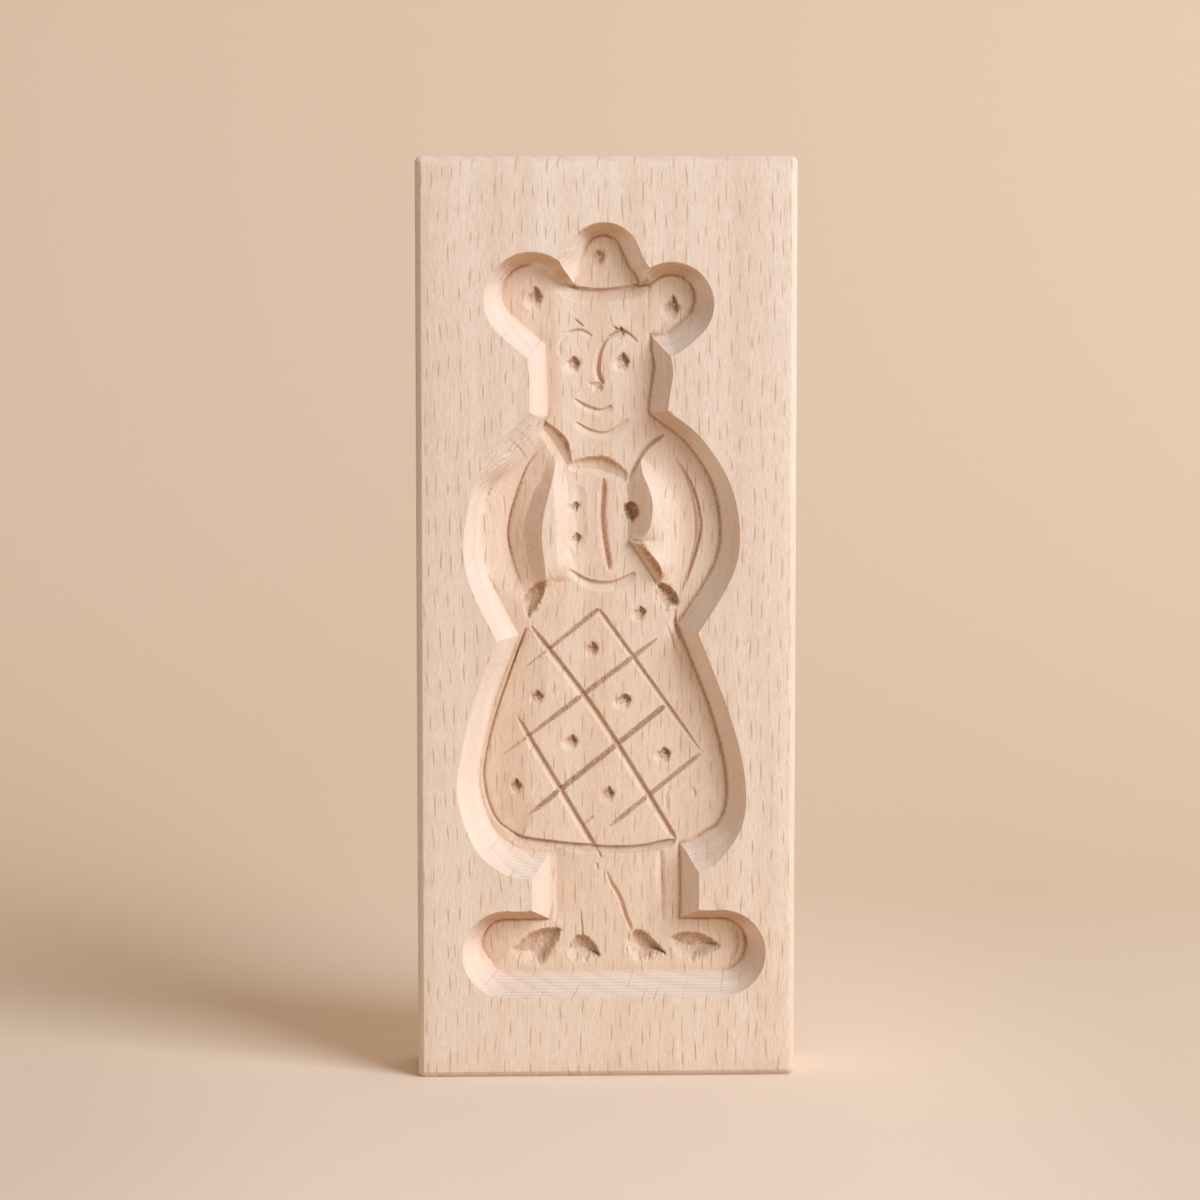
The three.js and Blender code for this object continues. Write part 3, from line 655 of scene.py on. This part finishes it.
def carved_edges():
    """The lines that the mesh keeps as edges, along the rim, strokes, pits and sleeves."""
    lines = [np.array(piece) for piece in zip(*rim())]
    for cut in STROKES:
        line = cut["line"]
        lines.append(line)
        size = stroke_size(cut, np.linspace(0, 1, len(line)))
        aside = leftward(np.gradient(line, axis=0)) * stroke_width(size)[:, None]
        for width in (cut["left"], -cut["right"]):
            if abs(width) < WIDE_FLANK:
                lines.append(line + aside * width)
    lines += [closed(pit["outline"]) for pit in GOUGES]
    for sleeve_lines in (LEFT_SLEEVE, RIGHT_SLEEVE):
        lines += [spline(points)[:, :2] for points in sleeve_lines.values()]
    return lines


def grid(low, high, step):
    """Places on a grid of triangles."""
    rows = np.arange(low[1], high[1], step * math.sqrt(3) / 2)
    places = []
    for number, z in enumerate(rows):
        xs = np.arange(low[0] + step / 2 * (number % 2), high[0], step)
        places.append(np.stack([xs, np.full(len(xs), z)], 1))
    return np.vstack(places)


def rounded_rectangle(inward):
    """The block's outline some way inside its silhouette, with the same points at every distance."""
    right, top = BOARD_WIDTH / 2, BOARD_HEIGHT
    radius = max(CORNER_RADIUS - inward, SMALLEST_RADIUS)
    turns = []
    for x, z, start in [(right, 0, -90), (right, top, 0), (-right, top, 90), (-right, 0, 180)]:
        centre = (x - math.copysign(inward + radius, x), z + (inward + radius) * (1 if z == 0 else -1))
        angle = np.radians(start + 90 * np.arange(CORNER_STEPS + 1) / CORNER_STEPS)
        turns.append(centre + radius * np.stack([np.cos(angle), np.sin(angle)], 1))
    loop = []
    for a, b, length in zip(turns, turns[1:] + turns[:1], [BOARD_HEIGHT, BOARD_WIDTH] * 2):
        steps = round(length / EDGE_STEP)
        loop += [a, a[-1] + (b[0] - a[-1]) * np.arange(1, steps)[:, None] / steps]
    return np.vstack(loop)


def clear_of(places, taken, gap):
    """The places that are further than a gap from the nearest one taken."""
    tree = kdtree.KDTree(len(taken))
    for i, (x, z) in enumerate(taken):
        tree.insert((x, z, 0), i)
    tree.balance()
    return np.array([place for place in places if tree.find((place[0], place[1], 0))[2] > gap])


def triangulate(lines, loose):
    """Triangles over a flat sheet, with edges along the lines and corners at the loose places too."""
    edges = []
    first = 0
    for line in lines:
        edges += [(i, i + 1) for i in range(first, first + len(line) - 1)]
        first += len(line)
    corners = [Vector(place) for place in np.vstack([*lines, loose])]
    places, _, faces, *_ = delaunay_2d_cdt(corners, edges, [], 0, WELD, False)
    return np.array([tuple(place) for place in places]), np.array([tuple(face) for face in faces])


def level_lines(places, faces, height):
    """The line where a height crosses zero on a first set of triangles, in short pieces."""
    above = (height > 0)[faces]
    pieces = []
    for face in faces[above.any(1) & ~above.all(1)]:
        crossings = []
        for a, b in zip(face, np.roll(face, -1)):
            if (height[a] > 0) != (height[b] > 0):
                crossings.append(places[a] + (places[b] - places[a]) * height[a] / (height[a] - height[b]))
        pieces.append(np.array(crossings))
    return pieces


def crests(places, faces, each, floor):
    """The lines where the walls of two hollows meet above the floor, in short pieces."""
    deepest = each.argmax(0)
    walls = each.max(0)
    shown = ((walls > 0) & (walls < floor))[faces].any(1)
    pieces = []
    for first in range(len(each)):
        for second in range(first):
            pair = np.isin(deepest[faces], (first, second)).all(1)
            pieces += level_lines(places, faces[shown & pair], each[first] - each[second])
    return pieces


def front_surface():
    """Triangles over the whole front face, as places on it and three numbers for each triangle."""
    border = rounded_rectangle(EASED_EDGE[0][0])
    lines = carved_edges() + [closed(border)]
    fixed = np.vstack(lines)
    reach = np.vstack(POCKETS)
    fine = grid(reach.min(0), reach.max(0), FINE)
    fine = clear_of(fine[inside(fine, *POCKETS)], fixed, KEPT_CLEAR * FINE)
    fine = np.vstack([fine, outside_rim()])
    pits = [pit["outline"] for pit in GOUGES]
    finer = np.vstack([grid(pit.min(0), pit.max(0), FINER) for pit in pits])
    finer = clear_of(finer[inside(finer, *pits)], np.vstack([fixed, fine]), KEPT_CLEAR * FINER)
    coarse = grid(border.min(0) + 1, border.max(0) - 1, COARSE)
    coarse = clear_of(coarse, np.vstack([fixed, fine]), KEPT_CLEAR_FLAT * COARSE)
    loose = np.vstack([fine, finer, coarse])
    places, faces = triangulate(lines, loose)
    each = pocket_walls(places)
    walls = each.max(0)
    floor, past_foot, *_ = hollows(places, walls)
    found = level_lines(places, faces, walls - floor) + crests(places, faces, each, floor)
    found += level_lines(places, faces, past_foot - FOOT_GROOVE_WIDTH)
    return triangulate(lines + found, clear_of(loose, np.vstack(found), KEPT_CLEAR * FINE))


def board_mesh():
    """The whole block as one closed mesh, in millimetres: its points and faces, which faces are carved, and
    what is known of each point's surface, by name."""
    places, faces = front_surface()
    depth, surface = carve(places)
    carved = (depth[faces] > 0).any(1)
    front = -BOARD_THICKNESS / 2
    points = [(x, front + d, z) for (x, z), d in zip(places, depth)]
    faces = [tuple(face) for face in faces.tolist()]
    rings = [(inward, front + back) for inward, back in EASED_EDGE]
    rings += [(inward, -front - back) for inward, back in reversed(EASED_EDGE)]
    first = len(points)
    for inward, y in rings:
        points += [(x, y, z) for x, z in rounded_rectangle(inward)]
    count = (len(points) - first) // len(rings)
    for ring in range(len(rings) - 1):
        start = first + ring * count
        for i in range(count):
            j = (i + 1) % count
            faces.append((start + i, start + j, start + count + j, start + count + i))
    border = rounded_rectangle(EASED_EDGE[0][0])
    inner = clear_of(grid(border.min(0), border.max(0), 2 * COARSE), border, COARSE)
    back_places, back_faces = triangulate([closed(border)], inner)
    start = len(points)
    points += [(x, -front, z) for x, z in back_places]
    faces += [tuple(start + i for i in reversed(face)) for face in back_faces]
    carved = np.concatenate([carved, np.zeros(len(faces) - len(carved), bool)])
    plain = np.zeros(len(points) - len(places))
    return points, faces, carved, {name: np.concatenate([values, plain]) for name, values in surface.items()}


def add_object(name, data):
    """A new object in the scene."""
    made = bpy.data.objects.new(name, data)
    bpy.context.scene.collection.objects.link(made)
    return made


def board(material):
    """The board as one piece, which stands for the plain CAD block."""
    points, faces, carved, surface = board_mesh()
    scale = (BLOCK_HIGH - BLOCK_LOW).x / BOARD_WIDTH
    mesh = bpy.data.meshes.new("carved_board")
    mesh.from_pydata([tuple(scale * value for value in point) for point in points], [], faces)
    mesh.polygons.foreach_set("use_smooth", carved)
    for name, values in surface.items():
        attribute = mesh.attributes.new(name, "FLOAT", "POINT")
        attribute.data.foreach_set("value", values.astype(np.float32))
    body = bmesh.new()
    body.from_mesh(mesh)
    bmesh.ops.remove_doubles(body, verts=body.verts, dist=ONE_CORNER)
    bmesh.ops.recalc_face_normals(body, faces=body.faces)
    body.to_mesh(mesh)
    body.free()
    mesh.set_sharp_from_angle(angle=SHARP_ANGLE)
    mesh.materials.append(material)
    piece = add_object("carved_board", mesh)
    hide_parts("board")
    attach(piece, "root")


class Value:
    """What a shader works out at each place. Sums with other values and with numbers make new ones."""

    def __init__(self, shader, socket):
        self.shader = shader
        self.socket = socket

    def __add__(self, other):
        return self.shader.math("ADD", self, other)

    def __sub__(self, other):
        return self.shader.math("SUBTRACT", self, other)

    def __mul__(self, other):
        return self.shader.math("MULTIPLY", self, other)

    def __truediv__(self, other):
        return self.shader.math("DIVIDE", self, other)

    def __abs__(self):
        return self.shader.math("ABSOLUTE", self)


class Shader:
    """A material or world whose nodes are made by short calls. A value or a constant can be any input."""

    def __init__(self, owner):
        self.owner = owner
        self.owner.use_nodes = True
        self.tree = self.owner.node_tree
        self.tree.nodes.clear()

    def node(self, kind, inputs=(), **settings):
        """A new node's outputs."""
        made = self.tree.nodes.new(kind)
        for name, value in settings.items():
            setattr(made, name, value)
        for name, value in dict(inputs).items():
            if isinstance(value, Value):
                self.tree.links.new(value.socket, made.inputs[name])
            else:
                made.inputs[name].default_value = value
        return made.outputs

    def value(self, kind, inputs=(), output=0, **settings):
        """One output of a new node."""
        return Value(self, self.node(kind, inputs, **settings)[output])

    def attribute(self, name):
        return self.value("ShaderNodeAttribute", output="Fac", attribute_name=name)

    def math(self, operation, *values):
        return self.value("ShaderNodeMath", dict(enumerate(values)), operation=operation)

    def remap(self, value, low, high, to_low=0.0, to_high=1.0, smooth=True):
        inputs = {"Value": value, "From Min": low, "From Max": high, "To Min": to_low, "To Max": to_high}
        kind = "SMOOTHSTEP" if smooth else "LINEAR"
        return self.value("ShaderNodeMapRange", inputs, interpolation_type=kind)

    def spread(self, share, low, high):
        """From low to high, evenly, as a share goes from 0 to 1."""
        return self.remap(share, 0, 1, low, high, smooth=False)

    def vector(self, x, y, z):
        return self.value("ShaderNodeCombineXYZ", {0: x, 1: y, 2: z})

    def parts(self, vector):
        return [Value(self, output) for output in self.node("ShaderNodeSeparateXYZ", {0: vector})]

    def scaled(self, vector, stretch):
        return self.value("ShaderNodeVectorMath", {0: vector, 1: stretch}, operation="MULTIPLY")

    def noise(self, vector, stretch, detail=2.0, roughness=0.5):
        """Smooth noise, with the number of its bumps in a millimetre each way."""
        vector = self.scaled(vector, stretch)
        inputs = {"Vector": vector, "Scale": 1.0, "Detail": detail, "Roughness": roughness}
        return self.value("ShaderNodeTexNoise", inputs)

    def mix(self, share, first, second, blend="MIX"):
        inputs = {"Factor": share, 6: first, 7: second}
        return self.value("ShaderNodeMix", inputs, 2, data_type="RGBA", blend_type=blend)

    def paint(self, colour, layers):
        """A colour under layers of others, each given as its share and its colour."""
        for share, over in layers:
            colour = self.mix(share, colour, over)
        return colour


def linear(red, green, blue):
    """A colour given as it looks on a screen, from 0 to 255."""
    values = [v / 255 for v in (red, green, blue)]
    return [v / 12.92 if v <= 0.04045 else ((v + 0.055) / 1.055) ** 2.4 for v in values] + [1.0]


# The tree that the board was sawn from: the middle of its trunk runs up behind the board's right-hand side
PITH_X = 40.0
PITH_Y = 95.0
RING_WIDTH = 2.9
BEECH_PALE = linear(237, 216, 198)
BEECH_PINK = linear(229, 201, 179)
BEECH_YELLOW = linear(236, 206, 176)
BEECH_LATE = linear(214, 183, 158)
FIBRE_PALE = linear(249, 235, 223)
FIBRE_DARK = linear(205, 172, 146)
RAY_BROWN = linear(190, 150, 116)
RECESS_TAN = linear(250, 241, 231)
# Painted bounce light on the machined walls
WALL_BOUNCE_PALE = linear(251, 240, 229)
END_GRAIN = linear(238, 213, 193)
END_PORES = linear(208, 177, 155)
END_RAY = linear(152, 122, 102)
# Brown of the frayed wood, laid on heavier where it also stands for painted shade
TORN_AND_SHADE_BROWN = linear(154, 103, 55)
# Painted brown shade on the cuts' flanks that face away from the key lamp, and along the feet of walls
SHADE_BROWN = linear(178, 122, 72)
# Painted shade on walls that face down
DOWN_WALL_SHADE = linear(222, 196, 167)
# Bumps in a millimetre: across the board, through it and up it
FIBRES = (2.4, 2.4, 0.1)
HAIRS = (8.5, 8.5, 0.5)
PORES = (5.0, 5.0, 1.2)
SHREDS = (5.0, 5.0, 1.3)
SHRED_TURN = math.radians(20)  # of the torn wood's shreds, from upright
# The rays lie in the cells of an uneven grid
RAY_COLUMN = 2.3
RAY_ROW = 8.4
RAY_HALF_WIDTH = 0.17
RAY_HALF_LENGTH = 2.9
RAYS_KEPT = 0.94
PASS_DEPTH = 0.76  # between the cutter's passes, one below the other
RIPPLE_STEP = 0.84  # between the ripples on walls cut aslant, across the board's diagonal
BUMP_STRENGTH = 0.6
BUMP_HEIGHT = 0.0004  # in metres
SPECULAR = 0.12


def ray_flecks(wood, across, up):
    """Rays cut through: short upright dashes with soft ends, one in each kept cell of the grid."""
    columns = across / RAY_COLUMN
    column = wood.math("FLOOR", columns)
    shift = wood.value("ShaderNodeTexWhiteNoise", {"Vector": wood.vector(column, 0.5, RAYS_KEPT)})
    rows = up / RAY_ROW + shift
    cell = wood.vector(column, wood.math("FLOOR", rows), RAYS_KEPT)
    chance = wood.value("ShaderNodeTexWhiteNoise", {"Vector": cell})
    colour = wood.value("ShaderNodeTexWhiteNoise", {"Vector": cell}, "Color")
    first, second, third = wood.parts(colour)
    aside = (wood.math("FRACT", columns) - wood.spread(first, 0.22, 0.78)) * RAY_COLUMN / RAY_HALF_WIDTH
    along = (wood.math("FRACT", rows) - wood.spread(second, 0.36, 0.64)) * RAY_ROW
    along = along / wood.spread(third, 0.5 * RAY_HALF_LENGTH, RAY_HALF_LENGTH)
    dash = wood.remap(aside * aside + along * along, 1.5, 0.1)
    return dash * wood.spread(first, 0.55, 1) * wood.math("LESS_THAN", chance, RAYS_KEPT)


def beech():
    """Bare fine-sanded beech, grown in rings about the trunk's middle, its fibres running up the board."""
    wood = Shader(bpy.data.materials.new("beech"))
    metres = wood.value("ShaderNodeTexCoord", output="Object")
    here = wood.scaled(metres, (1000.0,) * 3)
    x, y, z = wood.parts(here)

    # The trunk's own directions: out from its middle, and where the line out meets the board's face
    sway = (wood.noise(here, (0.02, 0.02, 0.012)) - 0.5) * 7
    side = x - PITH_X + sway
    ahead = wood.math("SUBTRACT", PITH_Y, y)
    radius = wood.math("SQRT", side * side + ahead * ahead)
    lean = wood.noise(here, (0.1, 0.0, 0.08), 1) * 1.5
    across = side * wood.math("DIVIDE", PITH_Y + BOARD_THICKNESS / 2, ahead) + lean
    trunk = wood.vector(across, radius, z)

    # Growth rings, bands, fibres and rays
    phase = wood.math("FRACT", radius / RING_WIDTH + wood.noise(trunk, (0.0, 0.09, 0.006), 3) * 1.6)
    late = wood.remap(phase, 0.3, 0.85) * wood.remap(phase, 1.0, 0.85)
    bands = wood.remap(wood.noise(trunk, (0.13, 0.2, 0.006), 3), 0.36, 0.66)
    fibres = wood.noise(trunk, FIBRES, 4, 0.65)
    hairs = wood.noise(trunk, HAIRS, 3, 0.7)
    facing_x, _, facing_z = wood.parts(wood.value("ShaderNodeNewGeometry", output="Normal"))
    rays = ray_flecks(wood, across, z) * wood.remap(abs(facing_x), 0.45, 0.75, 1, 0.12)
    colour = wood.paint(wood.mix(bands, BEECH_PALE, BEECH_PINK), [
        (wood.remap(z, 170, 10, 0, 0.5), BEECH_YELLOW),
        (late * 0.07, BEECH_LATE),
        (wood.remap(fibres, 0.5, 0.75, 0, 0.3), FIBRE_DARK),
        (wood.remap(fibres, 0.5, 0.28, 0, 0.3), FIBRE_PALE),
        (wood.remap(hairs, 0.52, 0.7, 0, 0.75), FIBRE_DARK),
        (wood.remap(hairs, 0.48, 0.3, 0, 0.65), FIBRE_PALE),
        (rays * 0.8, RAY_BROWN),
    ])

    # End grain, where a wall cuts across the fibres: fine pores, and the rays as lines
    end_share = wood.remap(abs(facing_z), 0.3, 0.85)
    pores = wood.noise(here, PORES, 3, 0.7)
    end = wood.paint(END_GRAIN, [
        (wood.remap(pores, 0.4, 0.68, 0, 0.6), END_PORES),
        (late * 0.4, END_PORES),
        (wood.math("POWER", rays, 3) * 0.6, END_RAY),
    ])

    # Painted bounce light makes the machined walls paler, and painted shade those that face down browner
    machined = wood.attribute("machined")
    colour = wood.paint(colour, [(end_share * 0.8, end), (machined * 0.16, WALL_BOUNCE_PALE)])
    # Painted shade: walls that face down are darkened brown
    facing_down = wood.remap(facing_z, -0.45, -0.85) * machined
    colour = wood.mix(facing_down * 0.75, colour, DOWN_WALL_SHADE, "MULTIPLY")

    # The cutter's passes round the machined walls
    passes = abs(wood.math("SINE", y * (math.pi / PASS_DEPTH)))
    groove = wood.remap(passes, 0.55, 0) * machined * wood.spread(end_share, 0.15, 1)

    # Where it crossed the fibres aslant, it left dots on walls that face up, and stripes on the others
    aslant = wood.remap(abs(facing_z), 0.2, 0.4) * machined * wood.remap(abs(facing_x), 0.2, 0.45)
    dots = wood.remap(wood.noise(here, (5.0, 5.0, 5.0), 1), 0.5, 0.64)
    dots = dots * wood.remap(facing_z, 0, 0.1, 0, 0.26) * wood.remap(facing_x, 0, -0.2, 0.1, 1)
    wander = wood.noise(here, (0.35, 0.35, 0.35), 2) * 3.6
    ripples = wood.math("SINE", (z * 1.1 - x + wander) * (2 * math.pi / RIPPLE_STEP))
    stripes = wood.remap(ripples, 0.1, 0.9) * wood.remap(facing_z, -0.02, -0.15, 0, 0.34)
    stripes = stripes * wood.remap(facing_x, 0.05, 0.3)
    marks = aslant * (dots + stripes)
    colour = wood.paint(colour, [(groove * 0.22, END_RAY), (marks, END_RAY)])

    # The floor is a little darker and tanner the deeper it lies, off the walls; the painted brown shade is
    # patchy
    on_floor = wood.remap(wood.attribute("depth"), 2, 6, 0, 0.45) - machined * 0.45
    colour = wood.mix(wood.math("MAXIMUM", on_floor, 0), colour, RECESS_TAN, "MULTIPLY")
    patches = wood.remap(wood.noise(here, (2.6, 2.6, 0.8), 4, 0.7), 0.34, 0.64, 0.2, 1)

    # Torn wood in the gouge marks, with its shreds along the gouge's way; its brown is heavier on sides that
    # face away from the key lamp as painted shade, and lies over the painted brown shade of the cuts and
    # feet
    torn_and_shade = wood.attribute("torn_and_shade")
    turn = {"Vector": here, "Angle": SHRED_TURN}
    shreds = wood.noise(wood.value("ShaderNodeVectorRotate", turn, rotation_type="Y_AXIS"), SHREDS, 3, 0.6)
    shaded = torn_and_shade * wood.remap(shreds, 0.36, 0.64, 0.15, 0.9)
    colour = wood.paint(colour, [
        (wood.attribute("painted_shade") * patches, SHADE_BROWN),
        (wood.math("MINIMUM", shaded, 1), TORN_AND_SHADE_BROWN),
    ])

    # Relief too fine for the mesh, in parts of the bump's full height
    height = fibres * 0.1 + hairs * 0.12 - groove * 0.16 - rays * 0.05 - marks * 0.2
    height = height + shreds * torn_and_shade * 0.3 + pores * end_share * 0.2
    bump = {"Strength": BUMP_STRENGTH, "Distance": BUMP_HEIGHT, "Height": height}
    bare = wood.value("ShaderNodeBsdfPrincipled", {
        "Base Color": colour,
        "Roughness": wood.remap(fibres, 0.2, 0.8, 0.58, 0.72),
        "Specular IOR Level": SPECULAR,
        "Normal": wood.value("ShaderNodeBump", bump),
    })
    wood.node("ShaderNodeOutputMaterial", {"Surface": bare})
    return wood.owner


# The studio: a pale sweep of paper, floor and background in one, in metres
SWEEP_FRONT = -2.6
SWEEP_TURN = 0.22  # where the floor starts to rise
SWEEP_RADIUS = 0.36
SWEEP_STEPS = 24  # round the turn
SWEEP_TOP = 2.4
SWEEP_HALF_WIDTH = 3.5
FLOOR_COLOUR = linear(243, 222, 202)
SIDE_SHADE_COLOUR = linear(231, 211, 190)  # of the floor to the left and right of the board, darker there as painted shade
WALL_COLOUR = linear(230, 204, 176)


def sweep_material():
    """Matte paper, which isn't there for a look from behind it, so it hides the board from no side."""
    paper = Shader(bpy.data.materials.new("paper_sweep"))
    x, y, _ = paper.parts(paper.value("ShaderNodeTexCoord", output="Object"))
    # The floor is painted darker to the left and right of the board, as painted shade
    colour = paper.paint(FLOOR_COLOUR, [
        (paper.remap(abs(x), 0.05, 0.13), SIDE_SHADE_COLOUR),
        (paper.remap(y, 0.0, 0.4), WALL_COLOUR),
    ])
    matte = {"Base Color": colour, "Roughness": 0.9, "Specular IOR Level": 0.1}
    both = paper.value("ShaderNodeMixShader", {
        0: paper.value("ShaderNodeNewGeometry", output="Backfacing"),
        1: paper.value("ShaderNodeBsdfPrincipled", matte),
        2: paper.value("ShaderNodeBsdfTransparent"),
    })
    paper.node("ShaderNodeOutputMaterial", {"Surface": both})
    return paper.owner


def sweep():
    """Floor and background in one bent sheet."""
    profile = [(SWEEP_FRONT, 0.0), (SWEEP_TURN, 0.0)]
    for i in range(1, SWEEP_STEPS + 1):
        angle = math.radians(90 * i / SWEEP_STEPS)
        y = SWEEP_TURN + SWEEP_RADIUS * math.sin(angle)
        profile.append((y, SWEEP_RADIUS * (1 - math.cos(angle))))
    profile.append((SWEEP_TURN + SWEEP_RADIUS, SWEEP_TOP))
    points = [(side * SWEEP_HALF_WIDTH, y, z) for side in (-1, 1) for y, z in profile]
    count = len(profile)
    faces = [(i, count + i, count + i + 1, i + 1) for i in range(count - 1)]
    mesh = bpy.data.meshes.new("sweep")
    mesh.from_pydata(points, [], faces)
    mesh.shade_smooth()
    mesh.materials.append(sweep_material())
    sheet = add_object("sweep", mesh)


# The key lamp is a square soft box to the right, in front and a little above
KEY_PLACE = Vector((1.35, -1.36, 1.25))
KEY_TARGET = Vector((0.0, 0.0, 0.1))
KEY_SIZE = 1.3
KEY_POWER = 53.5
KEY_COLOUR = (0.79, 0.88, 1.0)
AMBIENT = 0.32
AMBIENT_COLOUR = (0.975, 0.89, 0.765, 1.0)
BACKGROUND_COLOUR = linear(222, 203, 182)  # past the sweep's ends, in a view from the side or from behind


def key_lamp():
    lamp = bpy.data.lights.new("key", "AREA")
    lamp.shape = "SQUARE"
    lamp.size = KEY_SIZE
    lamp.energy = KEY_POWER
    lamp.color = KEY_COLOUR
    light = add_object("key", lamp)
    light.location = KEY_PLACE
    light.rotation_euler = (KEY_TARGET - KEY_PLACE).to_track_quat("-Z", "Y").to_euler()


def surroundings():
    """Soft light from all round, and a pale background for what the camera sees and the board mirrors."""
    world = Shader(bpy.data.worlds.new("studio"))
    seen = 0.0
    for ray in ("Is Camera Ray", "Is Glossy Ray", "Is Transmission Ray"):
        seen = world.math("MAXIMUM", seen, world.value("ShaderNodeLightPath", output=ray))
    both = world.value("ShaderNodeMixShader", {
        0: seen,
        1: world.value("ShaderNodeBackground", {"Color": AMBIENT_COLOUR, "Strength": AMBIENT}),
        2: world.value("ShaderNodeBackground", {"Color": BACKGROUND_COLOUR, "Strength": 1.0}),
    })
    world.node("ShaderNodeOutputWorld", {"Surface": both})
    bpy.context.scene.world = world.owner


# The camera stands just left of the board's middle and level with its top, and looks slightly down
CAMERA_PLACE = (-0.0363, -0.9497, 0.2014)
CAMERA_YAW = math.radians(2.13)
CAMERA_PITCH = math.radians(5.89)
CAMERA_LENS = 131.1
CAMERA_SENSOR = 36.0


def camera():
    lens = bpy.data.cameras.new("camera")
    lens.lens = CAMERA_LENS
    lens.sensor_width = CAMERA_SENSOR
    view = add_object("camera", lens)
    view.location = CAMERA_PLACE
    view.rotation_euler = (math.pi / 2 - CAMERA_PITCH, 0, -CAMERA_YAW)
    bpy.context.scene.camera = view


bpy.context.scene.view_settings.view_transform = "Standard"
board(beech())
sweep()
key_lamp()
surroundings()
camera()
